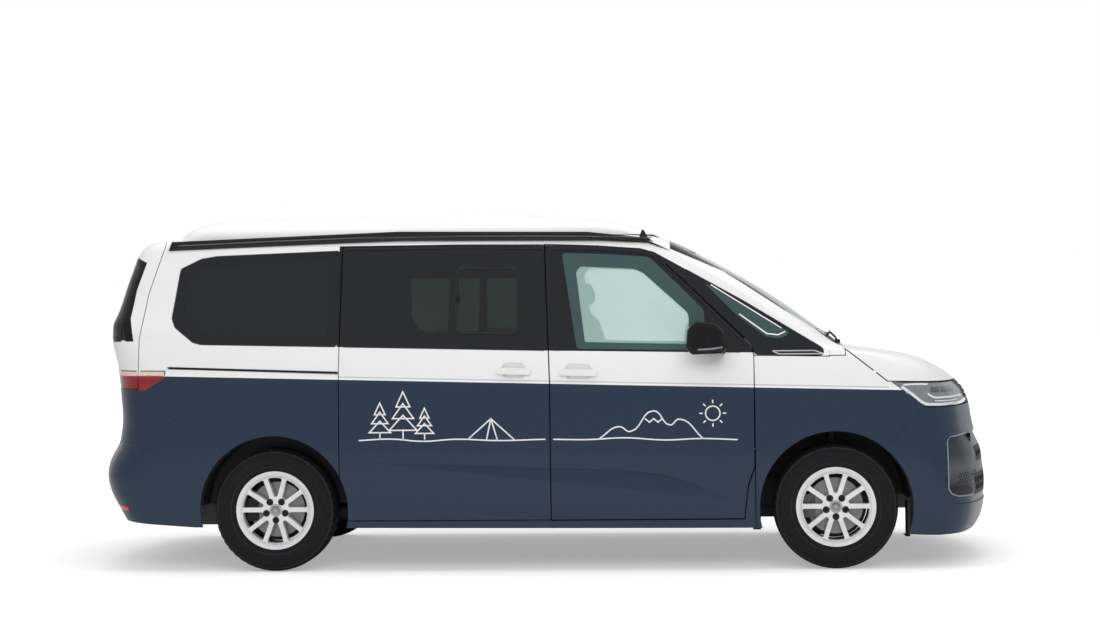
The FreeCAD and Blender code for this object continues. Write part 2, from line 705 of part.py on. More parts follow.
def honeycomb(half_share, base_share, top_share):
    # Six-sided holes in rows that are half a step apart.
    rise = cell_pitch * math.sin(math.pi / 3)
    rows = int((up(top_share) - up(base_share) - cell_rim * 2 - cell_width) / rise) + 1
    middle = (up(base_share) + up(top_share)) / 2
    cells = []
    for row in range(rows):
        height = middle + (row - (rows - 1) / 2) * rise
        shift = cell_pitch / 2 * (row % 2)
        count = int((out(half_share) - cell_rim - cell_width / 2 - shift) / cell_pitch) + 1
        for column in range(count):
            cells.append(six_sided(-shift - column * cell_pitch, height))
    return Part.makeCompound(cells)


def six_sided(side, height):
    centre = V(along(inlet_rear_share) - cutter_overrun, side, height)
    reach = cell_width / math.sqrt(3)
    corners = [centre + V(0, math.sin(math.pi / 3 * i), math.cos(math.pi / 3 * i)) * reach
               for i in range(6)]
    return Part.Face(Part.makePolygon(corners + corners[:1])).extrude(V(far_out, 0, 0))


cell_pitch = 46.0
cell_width = 36.0
cell_rim = 6.0


def inlet_mesh(half_share, base_share, top_share):
    # The honeycomb mesh that fills an air inlet, behind the face of the bumper.
    mesh = air_inlet(half_share, base_share, top_share, face_clearance).common(fender_form)
    mesh = mesh.cut(body_form(fender_thickness + mesh_thickness, fender_thickness + mesh_thickness))
    return whole(mesh.cut(honeycomb(half_share, base_share, top_share)))


mesh_thickness = 14.0


def headlamp():
    lamp = side_slab(headlamp_shares, 0, out(0.4874)).common(skin)
    return biggest(lamp.cut(lamp_form))


def tailgate():
    upper = half_slab(tailgate_shares, 0)
    lower = half_slab(tailgate_lower_shares, 0)
    lower = lower.common(box(-far_out * 2, 0, -out(0.711), out(0.711), 0, far_out))
    gate = upper.fuse(lower).common(wall)
    lamp = tail_lamp_cutter(face_clearance)
    seat = half_slab(tailgate_glass_shares, pane_gap).cut(seat_form)
    hole = half_slab(tailgate_glass_shares, -hole_rim).common(
        box(-far_out * 2, 0, -out(0.577), out(0.577), 0, far_out))
    blade = side_slab(tail_blade_shares, face_clearance, out(blade_inner_share) - face_clearance)
    blade = blade.cut(seat_form)
    plate = box(-far_out * 2, 0, -out(plate_half_share), cutter_overrun, up(plate_base_share),
                up(plate_top_share)).cut(fender_form)
    return whole(carved(gate, [seat, hole, lamp, blade, plate]))


hole_rim = 55.0
blade_inner_share = 0.6698
plate_half_share = 0.2834
plate_base_share = 0.4121
plate_top_share = 0.4774


def tail_blade():
    # The dark blade on each side of the tailgate's window.
    return biggest(skin_layer(side_slab(tail_blade_shares, 0, out(blade_inner_share)), glass_form))


def tail_lamp_cutter(grow):
    return side_slab(tail_lamp_shares, grow, out(0.4431) - grow)


def tail_lamps():
    lamp = side_slab(tail_lamp_shares, 0, out(0.4431)).common(skin)
    lamp = lamp.cut(lamp_form)
    side = lamp.cut(half_slab(tailgate_shares, panel_gap))
    gate = lamp.common(half_slab(tailgate_shares, 0))
    return biggest(side), biggest(gate)


def sliding_door_panes():
    # The fixed pane of the sliding door, and the small pane that slides open within it.
    hole = rounded_face(sliding_pane_shares, face_clearance, window_corner_radius)
    small = rounded_face(sliding_pane_shares, 0, window_corner_radius)
    fixed = pane(sliding_glass_shares).cut(spread(hole, out(window_reach_share), far_out))
    return fixed, skin_layer(spread(small, out(window_reach_share), far_out), glass_form)


def tailgate_glass():
    return whole(half_slab(tailgate_glass_shares, 0).common(skin).cut(glass_form))


def rear_bumper():
    cover = half_slab(rear_bumper_shares, 0).common(skin)
    cover = carved(cover, [bumper_form, under_cutter(), arch_cutter(rear_axle, 0, 0),
                       half_slab(tailgate_lower_shares, panel_gap).common(
                           box(-far_out * 2, 0, -out(0.7161), out(0.7161), 0, far_out))])
    return whole(cover)


def pop_ring(shares, inset, drop):
    height, front, rear, half = shares
    radii = [pop_end_radius - inset, pop_corner_radius - inset, pop_end_radius - inset,
             pop_corner_radius - inset]
    points = half_plan(along(front) - inset, along(rear) + inset, out(half) - inset,
                       radii, flank_radius - inset, ring_counts)
    return right_half([V(p.x, p.y, up(height) - drop) for p in points])


pop_end_radius = 5200.0
pop_corner_radius = 150.0
pop_ring_shares = [
    (0.9391, -0.3055, -1.559, 0.7543),
    (0.9513, -0.3215, -1.542, 0.7512),
    (0.9623, -0.3423, -1.5232, 0.7409),
    (0.9734, -0.3734, -1.4946, 0.7213),
    (0.9829, -0.4086, -1.4535, 0.6924),
    (0.991, -0.4502, -1.3999, 0.6595),
    (0.9965, -0.495, -1.3374, 0.6234),
    (1, -0.5495, -1.2614, 0.577),
]


def pop_form(inset, drop):
    parameters = ring_parameters(pop_ring(pop_ring_shares[0], 0, 0))
    rings = [ring_wire(pop_ring(r, inset, drop), parameters) for r in pop_ring_shares]
    return closed_form([rings])


def pop_top():
    return whole(pop_form(0, 0).cut(pop_form(pop_top_wall, pop_top_wall)))


def roof_rails():
    # The rail along the roof's edge, grooved along its face, with a fin at its front end.
    rail = spread(side_face(roof_rail_shares, 0), out(0.7646), out(0.8016))
    for share in rail_groove_shares:
        groove = side_face(roof_rail_shares, 0)
        groove.translate(V(0, 0, up(share)))
        lower = side_face(roof_rail_shares, 0)
        lower.translate(V(0, 0, up(share) - rail_groove_height))
        rail = rail.cut(spread(groove, out(0.7955), far_out).cut(spread(lower, 0, far_out)))
    fin = spread(side_face(roof_fin_shares, 0), out(0.7646), out(0.779))
    return biggest(joined([rail, fin]).cut(outside_form))


rail_groove_shares = [-0.006, -0.0136]
rail_groove_height = 5.0


def bellows():
    # The tent cloth, folded flat between the roof opening and the lifting roof.
    outer = box(along(opening_rear_share) - cloth_margin, along(opening_front_share) + cloth_margin,
                -out(opening_half_share) - cloth_margin, out(opening_half_share) + cloth_margin,
                up(roof_top_share), up(cloth_top_share))
    inner = box(along(opening_rear_share), along(opening_front_share), -out(opening_half_share),
                out(opening_half_share), 0, far_out * 2)
    return outer.cut(inner)


cloth_margin = 35.0
roof_top_share = 0.9392
cloth_top_share = 0.9533


def floor_pan():
    sheet = box(along(-1.8155), along(-0.1392), -out(0.9067), out(0.9067),
                floor_height - floor_thickness, floor_height)
    rails = []
    for side in (-1, 1):
        middle = side * out(0.577)
        rails.append(box(along(-1.7708), along(-0.1392), middle - rail_width / 2, middle + rail_width / 2,
                         floor_height - floor_thickness - rail_height, floor_height - floor_thickness))
    for place in cross_member_shares:
        rails.append(box(along(place), along(place) + rail_width, -out(0.577), out(0.577),
                         cross_base(), floor_height - floor_thickness))
    pan = joined([sheet] + rails)
    arch = arch_cutter(rear_axle, arch_liner_gap * 2, wheel_offset - tyre_width / 2 - liner_margin * 2)
    front = arch_cutter(front_axle, arch_liner_gap * 2, front_arch_depth)
    notch = box(along(-0.5274), along(-0.4755), -far_out, -out(0.8758), 0, overall_height)
    return whole(carved(pan, [arch, front, notch]).common(cabin_form))


rail_width = 80.0
rail_height = 90.0
cross_member_share = 0.6
cross_member_shares = [-1.744, -0.8183, -0.6263, -0.4342, -0.2422]
liner_margin = 18.0


def arch_liner(axle, inner):
    # The lining of a wheel arch: a half drum with its inner wall, open to the wheel and below.
    outer = across(arch_radius - face_clearance, axle, axle_height, -out(0.9274), -inner)
    hollow = across(arch_radius - face_clearance - arch_liner_thickness, axle, axle_height,
                    -out(1.0304), -inner - arch_liner_thickness)
    below = box(axle - arch_radius * 2, axle + arch_radius * 2, -far_out, 0, 0, up(0.1859))
    hub = across(hub_carrier_radius * liner_hub_share, axle, axle_height, -far_out, 0)
    return carved(outer, [hollow, below, hub]).common(
        body_form(fender_thickness * 2, fender_thickness * 2))


liner_hub_share = 1.4


def firewall():
    points = [(-0.1356, 0.2221), (-0.1141, 0.2613), (-0.1141, 0.402), (-0.0501, 0.4221),
              (-0.0181, 0.4824), (-0.0085, 0.5854)]
    line = Part.makePolygon([V(along(x), 0, up(z)) for x, z in points])
    plate = Part.Face(line.makeOffset2D(firewall_thickness, 2, True, True))
    plate = spread(plate, -out(0.9067), out(0.9067))
    arch = arch_cutter(front_axle, arch_liner_gap, front_arch_depth - arch_liner_gap)
    return whole(plate.cut(arch).common(cabin_form))


def dashboard():
    face = rounded_face(dashboard_shares, 0, dashboard_corner_radius)
    top = spread(face, -out(0.8758), out(0.8758))
    ends = spread(face, -half_width, half_width).common(
        box(along(-0.1384), along(-0.0181), -half_width, half_width, 0, overall_height))
    top = whole(top.fuse(ends).common(cabin_form))
    start = V(along(-0.2149), out(0.4534), up(0.5402))
    column = Part.makeCylinder(column_radius, column_length, V(0, 0, -steering_hub_depth - column_length
                                                               - face_clearance), V(0, 0, 1))
    column.rotate(V(0, 0, 0), V(0, 1, 0), -steering_tilt_angle)
    column.translate(start)
    hood = spread(rounded_face(hood_shares, 0, hood_corner_radius), -out(0.6182), -out(0.2885))
    screen = spread(side_face(screen_shares, 0), -out(0.1546), out(0.134))
    return joined([top, column, hood, screen])


hood_shares = [(-0.1717, 0.5678), (-0.173, 0.606), (-0.1621, 0.6141), (-0.1263, 0.601), (-0.1231, 0.5729)]
screen_shares = [(-0.1903, 0.5327), (-0.1807, 0.6161), (-0.1762, 0.6161), (-0.1717, 0.5327)]
dashboard_corner_radius = 18.0
hood_corner_radius = 10.0
column_radius = 38.0
column_length = 150.0


def cushioned(outline_shares, inner, outer):
    # A padded slab with its two side bolsters standing proud of it.
    middle = spread(rounded_face(outline_shares, 0, pad_radius), inner, outer)
    bolsters = [spread(rounded_face(outline_shares, bolster_rise, pad_radius), start, start + bolster_width)
                for start in (inner, outer - bolster_width)]
    return joined([middle] + bolsters)


pad_radius = 16.0
bolster_rise = 9.0
bolster_width = 75.0


def front_seat():
    # The right front seat: a plinth, cushion, back and headrest on its two stems.
    inner, outer = out(0.1855), out(0.7213)
    plinth = box(along(-0.3926), along(-0.271), -out(0.6491), -out(0.2576), floor_height, up(0.3819))
    head = spread(rounded_face(seat_head_shares, 0, pad_radius), out(0.3194), out(0.5873))
    stems = [rod(V(along(-0.4541), -out(place), up(0.7035)), V(along(-0.4534), -out(place), up(0.7538)),
                 stem_radius) for place in stem_shares]
    return joined([plinth, cushioned(seat_cushion_shares, inner, outer),
                   cushioned(seat_back_shares, inner, outer), head] + stems)


stem_shares = [0.3916, 0.5152]
stem_radius = 8.0


def rear_bench():
    # A bench for two on a chest, with a seam between its two places.
    inner, outer = -out(0.2782), out(0.6595)
    middle = (inner + outer) / 2
    chest = box(along(-1.1184), along(-0.908), -outer, -inner, floor_height, up(0.392))
    pads = []
    for low, high in ((inner, middle - seam_gap), (middle + seam_gap, outer)):
        pads.append(cushioned(bench_cushion_shares, low, high))
        pads.append(cushioned(bench_back_shares, low, high))
    return joined([chest] + pads)


def kitchen():
    # A low cabinet under a worktop, with fronts parted by grooves, a sink and two burners.
    start, end = along(-1.3865), along(-0.5495)
    inner, outer = out(0.3916), out(0.6595)
    top = up(0.6231)
    cabinet = box(start, end, inner + worktop_thickness, outer, floor_height, top)
    cabinet = cabinet.fuse(box(start, end, inner, outer, top - worktop_thickness, top))
    for share in front_groove_shares:
        cabinet = cabinet.cut(box(along(share), along(share) + front_groove_width, inner,
                                  inner + worktop_thickness + front_groove_depth,
                                  floor_height + plinth_height, top - worktop_thickness))
    middle = (inner + outer) / 2
    sink = Part.makeCylinder(sink_radius, sink_depth, V(along(sink_share), middle, top - sink_depth))
    cabinet = cabinet.cut(sink)
    for share in burner_shares:
        cabinet = cabinet.cut(Part.makeCylinder(burner_radius, front_groove_depth,
                                                V(along(share), middle, top - front_groove_depth)))
    return cabinet


worktop_thickness = 22.0
front_groove_shares = [-0.9976, -0.8504, -0.7031]
front_groove_width = 5.0
front_groove_depth = 6.0
plinth_height = 60.0
sink_share = -0.7543
sink_radius = 105.0
sink_depth = 130.0
burner_shares = [-0.5879, -0.6583]
burner_radius = 85.0


def engine_block():
    return box(along(-0.0206), along(0.5306), -out(0.4122), out(0.4122),
               up(subframe_top_share) + face_clearance, up(0.4523))


def exhaust():
    # The pipe under the floor, its silencer at the rear, and the hangers that carry them.
    start = V(along(-0.0981), -out(pipe_side_share), up(pipe_height_share))
    bend = V(along(-1.029), -out(pipe_side_share), up(pipe_height_share))
    parts = [rod(start, bend, exhaust_radius),
             rod(bend, V(along(-1.3418), -out(0.2061), up(0.1357)), exhaust_radius),
             box(along(-1.6993), along(-1.2971), -out(0.4328), -out(0.103), up(0.108), up(0.1734)),
             rod(V(along(-1.4759), -out(0.3091), up(0.1508)),
                 V(along(-1.4759), -out(0.3091), floor_height - floor_thickness - face_clearance),
                 hanger_radius)]
    for place in hanger_shares:
        parts.append(rod(V(along(place), -out(pipe_side_share), up(pipe_height_share)),
                         V(along(place), -out(pipe_side_share), cross_base() - face_clearance),
                         hanger_radius))
    return joined(parts)


pipe_side_share = 0.1546
pipe_height_share = 0.1206


def cross_base():
    return floor_height - floor_thickness - rail_height * cross_member_share


hanger_shares = [-0.2294, -0.6135]
hanger_radius = 7.0


exhaust_radius = 28.0


def front_suspension():
    # The subframe with its legs back to the floor, the lower arms with their ball seats, and the struts.
    frame = box(along(-0.0661), along(0.2081), -out(0.4122), out(0.4122), up(0.108), up(subframe_top_share))
    parts = [frame]
    ball = up(ball_top_share)
    for side in (-1, 1):
        low, high = sorted([side * out(0.3091), side * out(0.3812)])
        parts.append(box(along(-0.2406), along(-0.0645), low, high, up(0.1181), up(subframe_top_share)))
        parts.append(box(along(-0.2406), along(-0.2214), low, high, up(0.1181),
                         cross_base() - face_clearance))
        for place in arm_root_shares:
            parts.append(rod(V(along(place), side * out(0.3916), ball - arm_radius),
                             V(front_axle, side * kingpin_offset, ball - arm_radius), arm_radius))
        parts.append(Part.makeCylinder(arm_radius, arm_radius * 2,
                                       V(front_axle, side * kingpin_offset, ball - arm_radius * 2)))
    body = joined(parts)
    struts = [rod(V(front_axle, side * out(0.644), up(0.2261)), V(front_axle, side * out(0.644), up(0.3804)),
                  strut_radius) for side in (-1, 1)]
    return [body] + struts


subframe_top_share = 0.1432
arm_root_shares = [-0.0309, 0.1543]
ball_top_share = 0.1116
arm_radius = 18.0
strut_radius = 26.0
kingpin_offset = 735.0


def disc_inner_face():
    return wheel_offset + rim_width / 2 - hub_depth - hub_recess - brake_disc_thickness


def caliper(axle):
    # The brake caliper astride the disc's rear edge, with the bracket that carries it.
    inner = disc_inner_face() - caliper_gap
    outer = disc_inner_face() + brake_disc_thickness + caliper_gap
    reach = brake_disc_diameter / 2
    block = box(axle - reach - caliper_wall * 2, axle - reach + caliper_depth, -outer - caliper_pad,
                -inner + caliper_back, axle_height - caliper_height / 2, axle_height + caliper_height / 2)
    block = block.common(across(reach + caliper_wall, axle, axle_height, -far_out, 0))
    block = block.cut(across(reach + caliper_gap, axle, axle_height, -outer, -inner))
    bracket = box(axle - reach, axle, -inner, -inner + caliper_back, axle_height - bracket_width / 2,
                  axle_height + bracket_width / 2)
    return block.fuse(bracket)


caliper_gap = 5.0
caliper_wall = 22.0
caliper_depth = 46.0
caliper_pad = 9.0
caliper_back = 32.0
caliper_height = 130.0
bracket_width = 50.0


def knuckle():
    # The front upright: a hub carrier on a post that stands on the lower ball joint.
    carrier = across(hub_carrier_radius, front_axle, axle_height, -disc_inner_face() + face_clearance,
                     -out(0.713))
    post = box(front_axle - arm_radius, front_axle + arm_radius, -kingpin_offset - arm_radius, -out(0.713),
               up(ball_top_share) + face_clearance, axle_height + carrier_reach)
    return joined([carrier, post, caliper(front_axle)])


hub_carrier_radius = 62.0
carrier_reach = 110.0


def rear_axle_beam():
    beam = across(beam_radius, rear_axle + beam_lead, axle_height - beam_radius, -out(0.6698), out(0.6698))
    parts = [beam]
    rail_base = floor_height - floor_thickness - rail_height
    for side in (-1, 1):
        parts.append(rod(V(rear_axle + beam_lead, side * out(0.6595), axle_height - beam_radius),
                         V(rear_axle, side * out(0.6852), axle_height), beam_radius))
        low, high = sorted([side * out(0.6595), side * (disc_inner_face() - face_clearance)])
        parts.append(across(hub_carrier_radius, rear_axle, axle_height, low, high))
        parts.append(rod(V(rear_axle + beam_lead, side * out(0.577), axle_height - beam_radius),
                         V(along(-0.8504), side * out(0.577), rail_base - beam_radius - face_clearance),
                         beam_radius))
    parts += both(caliper(rear_axle))
    return joined(parts)


beam_radius = 34.0
beam_lead = 90.0


def tyre(x, y):
    half = tyre_width / 2
    rim_r = rim_diameter / 2
    top = tyre_diameter / 2
    belly = mixed(rim_r, top, belly_share)
    profile = [(rim_r, half * bead_share), (belly, half), (mixed(belly, top, belly_share), half * wall_share),
               (top - shoulder, half * tread_share), (top, half * tread_share - shoulder)]
    profile = profile + [(a, -b) for a, b in reversed(profile)]
    points = [V(x, y + b, axle_height + a) for a, b in profile]
    face = Part.Face(Part.makePolygon(points + points[:1]))
    return face.revolve(V(x, y, axle_height), V(0, 1, 0), 360)


bead_share = 0.82
wall_share = 0.99
belly_share = 0.45
tread_share = 0.9
shoulder = 14.0


def turned(section):
    # A ring round the wheel's axle from pairs of radius and distance along it.
    points = [V(0, b, a) for a, b in section]
    return Part.Face(Part.makePolygon(points + points[:1])).revolve(V(0, 0, 0), V(0, 1, 0), 360)


def wheel_window(turn, low, high):
    # One opening between two spokes, wider at the outer face so that the spokes are tapered.
    wires = []
    for grow, reach in ((0, 0), (window_draft, rim_width / 2)):
        corners = []
        for radius, angle in ((window_foot_radius, low), (window_top_radius, low),
                              (window_top_radius, (low + high) / 2), (window_top_radius, high),
                              (window_foot_radius, high)):
            offset = spoke_width / 2 * (1 if angle == low else -1 if angle == high else 0)
            lie = math.radians(angle + turn)
            corners.append(V(radius * math.sin(lie) + offset * math.cos(lie), reach,
                             radius * math.cos(lie) - offset * math.sin(lie)))
        face = Part.Face(Part.makePolygon(corners + corners[:1])).makeOffset2D(-window_corner, 2)
        wires.append(face.makeOffset2D(window_corner + grow, 0).OuterWire)
    return Part.makeLoft(wires, True, True)


def rim(x, side):
    # A cast wheel with twin spokes, its barrel, hub, bolt holes and the brake disc behind it.
    lip = rim_diameter / 2
    well = rim_well_diameter / 2
    half = rim_width / 2
    barrel = turned([(lip - rim_wall, half), (lip - rim_clear, half), (lip - rim_clear, half - rim_lip_width),
                     (well + rim_wall, half - rim_lip_width * 2), (well + rim_wall, -half + rim_lip_width * 2),
                     (lip - rim_clear, -half + rim_lip_width), (lip - rim_clear, -half), (lip - rim_wall, -half),
                     (well, -half + rim_lip_width), (well, half - rim_lip_width)])
    face = half - hub_recess
    dish = turned([(0, face - cap_recess), (cap_radius, face - cap_recess), (cap_radius, face), (hub_radius, face),
                   (mixed(hub_radius, well, dish_share), face + dish_rise), (well + rim_clear, half - rim_clear),
                   (well + rim_clear, half - spoke_depth), (mixed(hub_radius, well, dish_share), face - spoke_depth),
                   (hub_radius, face - hub_depth), (0, face - hub_depth)])
    step = 360.0 / spoke_pairs
    for pair in range(spoke_pairs):
        dish = dish.cut(wheel_window(pair * step, -spoke_spread_angle, spoke_spread_angle))
        dish = dish.cut(wheel_window(pair * step, spoke_spread_angle, step - spoke_spread_angle))
        lie = math.radians((pair + 0.5) * step)
        centre = V(math.sin(lie), 0, math.cos(lie)) * (bolt_circle_diameter / 2)
        dish = dish.cut(Part.makeCylinder(bolt_hole_radius, bolt_hole_depth,
                                          centre + V(0, face - bolt_hole_depth, 0), V(0, 1, 0)))
    disc = Part.makeCylinder(brake_disc_diameter / 2, brake_disc_thickness,
                             V(0, face - hub_depth - brake_disc_thickness, 0), V(0, 1, 0))
    wheel = joined([barrel, dish, disc])
    if side < 0:
        wheel = mirrored(wheel)
    wheel.translate(V(x, side * wheel_offset, axle_height))
    return wheel


rim_wall = 6.0
rim_clear = 0.5
rim_lip_width = 14.0
hub_radius = 78.0
hub_depth = 60.0
hub_recess = 22.0
cap_radius = 32.0
cap_recess = 4.0
dish_share = 0.45
dish_rise = 4.0
spoke_width = 30.0
spoke_depth = 34.0
spoke_spread_angle = 17.0
window_foot_radius = 76.0
window_top_radius = 182.0
window_corner = 7.0
window_draft = 2.5
bolt_hole_radius = 11.0
bolt_hole_depth = 16.0


def rounded_at(solid, reach, radius):
    # The solid with the edges of its outer face rounded.
    edges = [e for e in solid.Edges if abs(e.BoundBox.YMin + reach) + abs(e.BoundBox.YMax + reach) < 1e-3]
    return solid.makeFillet(radius, edges)


def mirror_housing():
    face = rounded_face(mirror_shares, 0, mirror_corner_radius)
    head = spread(face, out(mirror_inner_share), out(mirror_outer_share))
    head = rounded_at(head, out(mirror_outer_share), mirror_edge_radius)
    glass = box(along(-0.2742), along(-0.2556), -out(1.1417), -out(1.0222), up(0.6161), up(0.6794))
    arm = box(along(-0.223), along(-0.1922), -out(1.0304), -out(0.9274), up(0.601), up(0.6211))
    return joined([arm, head.cut(glass)]).cut(outside_form)


mirror_inner_share = 1.0046
mirror_outer_share = 1.1602
mirror_corner_radius = 34.0
mirror_edge_radius = 26.0


def steering_wheel():
    ring = Part.makeTorus(steering_radius, grip_radius)
    across_spoke = box(-grip_radius, grip_radius, -steering_radius, steering_radius, -grip_radius, 0)
    low_spoke = box(-steering_radius, 0, -grip_radius, grip_radius, -grip_radius, 0)
    hub = Part.makeCone(steering_hub_radius * hub_taper_share, steering_hub_radius, steering_hub_depth,
                        V(0, 0, -steering_hub_depth), V(0, 0, 1))
    wheel = joined([ring, across_spoke, low_spoke, hub])
    wheel.rotate(V(0, 0, 0), V(0, 1, 0), -steering_tilt_angle)
    wheel.translate(V(along(-0.2149), out(0.4534), up(0.5402)))
    return wheel


steering_radius = 185.0
grip_radius = 14.0
steering_hub_radius = 60.0
steering_hub_depth = 50.0
hub_taper_share = 0.7
steering_tilt_angle = 62.0


def both(shape):
    return [shape, mirrored(shape)]


right_side = body_side().fuse([a_post(), rocker(), b_pillar()])
save("body_side_right", right_side.Solids)
save("body_side_left", mirrored(right_side).Solids)
wing = fenders()
save("fender_right", [wing])
save("fender_left", [mirrored(wing)])
save("roof_frame", [roof_frame()])
save("bonnet", [bonnet()])
save("cowl_panel", [cowl()])
save("windscreen", [windscreen()])
save("front_bumper", [front_bumper()])
save("grille", [grille(), inlet_mesh(*lower_inlet), inlet_mesh(*upper_inlet)])
save("headlamps", both(headlamp()))
door = front_door()
save("door_right", [door])
save("door_left", [mirrored(door)])
door = sliding_door()
save("sliding_door_right", [door])
save("sliding_door_left", [mirrored(door)])
pane_front = pane(front_glass_shares)
save("door_glass_right", [pane_front])
save("door_glass_left", [mirrored(pane_front)])
fixed_pane, sliding_pane = sliding_door_panes()
save("sliding_door_glasses", both(fixed_pane) + both(sliding_pane))
save("side_glasses", both(pane(rear_glass_shares)) + both(pane(pillar_cover_shares)))
save("tailgate", [tailgate()])
lamp_side, lamp_gate = tail_lamps()
save("tail_lamps", both(lamp_side))
save("tailgate_lamps", both(lamp_gate))
save("tailgate_glass", [tailgate_glass()] + both(tail_blade()))
save("rear_bumper", [rear_bumper()])
save("pop_top_shell", [pop_top()])
save("tent_bellows", [bellows()])
save("roof_rails", both(roof_rails()))
save("floor_pan", [floor_pan()])
front_liner = arch_liner(front_axle, front_arch_depth)
rear_liner = arch_liner(rear_axle, wheel_offset - tyre_width / 2 - liner_margin)
save("wheel_arch_liners", both(front_liner) + both(rear_liner))
save("firewall", [firewall()])
save("dashboard", [dashboard()])
save("front_seats", both(front_seat()))
save("rear_bench", [rear_bench()])
save("kitchen_cabinet", [kitchen()])
save("engine_block", [engine_block()])
save("exhaust", [exhaust()])
save("front_suspension", front_suspension())
save("knuckle_right", [knuckle()])
save("knuckle_left", [mirrored(knuckle())])
save("rear_axle", [rear_axle_beam()])
save("mirror_right", [mirror_housing()])
save("mirror_left", [mirrored(mirror_housing())])
save("steering_wheel", [steering_wheel()])
for corner, place, side in (("front_right", front_axle, -1), ("front_left", front_axle, 1),
                            ("rear_right", rear_axle, -1), ("rear_left", rear_axle, 1)):
    save("tyre_" + corner, [tyre(place, side * wheel_offset)])
    save("rim_" + corner, [rim(place, side)])
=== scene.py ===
import bpy
import bmesh
import math
from mathutils import Vector, Matrix
from mathutils.bvhtree import BVHTree


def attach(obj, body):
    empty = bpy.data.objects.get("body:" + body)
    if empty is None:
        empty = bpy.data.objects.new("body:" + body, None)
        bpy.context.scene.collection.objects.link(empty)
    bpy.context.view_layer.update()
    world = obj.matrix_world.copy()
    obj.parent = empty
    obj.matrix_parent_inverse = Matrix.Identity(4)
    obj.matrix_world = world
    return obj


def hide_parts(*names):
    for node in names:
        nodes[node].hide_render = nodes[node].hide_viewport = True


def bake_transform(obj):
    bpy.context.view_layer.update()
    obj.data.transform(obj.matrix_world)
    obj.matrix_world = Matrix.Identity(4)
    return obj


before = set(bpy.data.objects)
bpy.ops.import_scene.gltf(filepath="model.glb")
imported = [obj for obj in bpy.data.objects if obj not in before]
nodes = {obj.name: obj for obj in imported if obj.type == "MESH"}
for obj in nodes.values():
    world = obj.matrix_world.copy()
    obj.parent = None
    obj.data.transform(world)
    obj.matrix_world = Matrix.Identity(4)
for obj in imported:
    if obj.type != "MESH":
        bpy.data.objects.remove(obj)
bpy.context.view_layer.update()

# The camper van's looks. Lengths are in metres, X to the front, Y to the left, Z up.

belt_slope = -0.029
belt_height = 1.0425
axle_height = 0.343
front_axle = 1.6565
rear_axle = -1.4675
wheel_offset = 0.815
disc_radius = 0.158
right, left = -1, 1
both_sides = ((right, "right"), (left, "left"))


# Materials --------------------------------------------------------------------------------------

class Value:
    # A number or colour in a material's nodes. Each sum or comparison adds a node and gives a new one.
    def __init__(self, tree, socket):
        self.tree, self.socket = tree, socket

    def math(self, operation, other=0.0):
        node = self.tree.nodes.new("ShaderNodeMath")
        node.operation = operation
        self.tree.links.new(self.socket, node.inputs[0])
        if isinstance(other, Value):
            self.tree.links.new(other.socket, node.inputs[1])
        else:
            node.inputs[1].default_value = other
        return Value(self.tree, node.outputs["Value"])

    def __add__(self, other):
        return self.math("ADD", other)

    def __sub__(self, other):
        return self.math("SUBTRACT", other)

    def __mul__(self, other):
        return self.math("MULTIPLY", other)

    def __lt__(self, other):
        return self.math("LESS_THAN", other)

    def __gt__(self, other):
        return self.math("GREATER_THAN", other)

    def __abs__(self):
        return self.math("ABSOLUTE")


class Look:
    # A material in the making. An input's name is written with _ for each space.
    def __init__(self, name):
        self.material = bpy.data.materials.new(name)
        self.material.use_nodes = True
        self.tree = self.material.node_tree
        self.place = self.output(self.new("TexCoord"), "Object")

    def feed(self, node, **inputs):
        for name, value in inputs.items():
            socket = node.inputs[name.replace("_", " ")]
            if isinstance(value, Value):
                self.tree.links.new(value.socket, socket)
            else:
                socket.default_value = value
        return node

    def new(self, kind, **inputs):
        return self.feed(self.tree.nodes.new("ShaderNode" + kind), **inputs)

    def output(self, node, name):
        return Value(self.tree, node.outputs[name])

    def shader(self, **inputs):
        self.feed(self.tree.nodes["Principled BSDF"], **inputs)

    def noise(self, scale, detail=3.0, stretch=None):
        place = self.place
        if stretch:
            place = self.output(self.new("Mapping", Scale=stretch, Vector=place), "Vector")
        return self.output(self.new("TexNoise", Scale=scale, Detail=detail, Vector=place), "Fac")

    def ramp(self, factor, stops):
        node = self.new("ValToRGB", Fac=factor)
        elements = node.color_ramp.elements
        for index, (position, colour) in enumerate(stops):
            element = elements[index] if index < 2 else elements.new(position)
            element.position, element.color = position, (*colour, 1)
        return self.output(node, "Color")

    def tones(self, factor, low, high):
        return self.ramp(factor, [(0.3, low), (0.7, high)])

    def spread(self, factor, low, high, start=0.0, end=1.0):
        return self.output(self.new("MapRange", Value=factor, From_Min=start, From_Max=end,
                                    To_Min=low, To_Max=high), "Result")

    def mix(self, factor, first, second):
        node = self.tree.nodes.new("ShaderNodeMix")
        node.data_type = "RGBA"
        return self.output(self.feed(node, Factor=factor, A=first, B=second), "Result")

    def bump(self, height, strength, distance):
        bump = self.new("Bump", Strength=strength, Distance=distance, Height=height)
        self.shader(Normal=self.output(bump, "Normal"))

    def parts(self):
        split = self.new("SeparateXYZ", Vector=self.place)
        return [self.output(split, axis) for axis in "XYZ"]


def plain_surface(name, low, high, scale, rough, bump_scale, bump_depth, metallic=0.0, coat=0.0,
                  stretch=None, specular=0.5):
    look = Look(name)
    grain = look.noise(scale, 4.0, stretch)
    look.shader(Base_Color=look.tones(grain, low, high), Roughness=look.spread(grain, *rough),
                Metallic=metallic, Coat_Weight=coat, Coat_Roughness=0.04, Specular_IOR_Level=specular)
    look.bump(look.noise(bump_scale, 2.0, stretch), 0.4, bump_depth)
    return look.material


def axle_distance(along, z):
    high = z - axle_height
    return (along * along + high * high).math("SQRT")


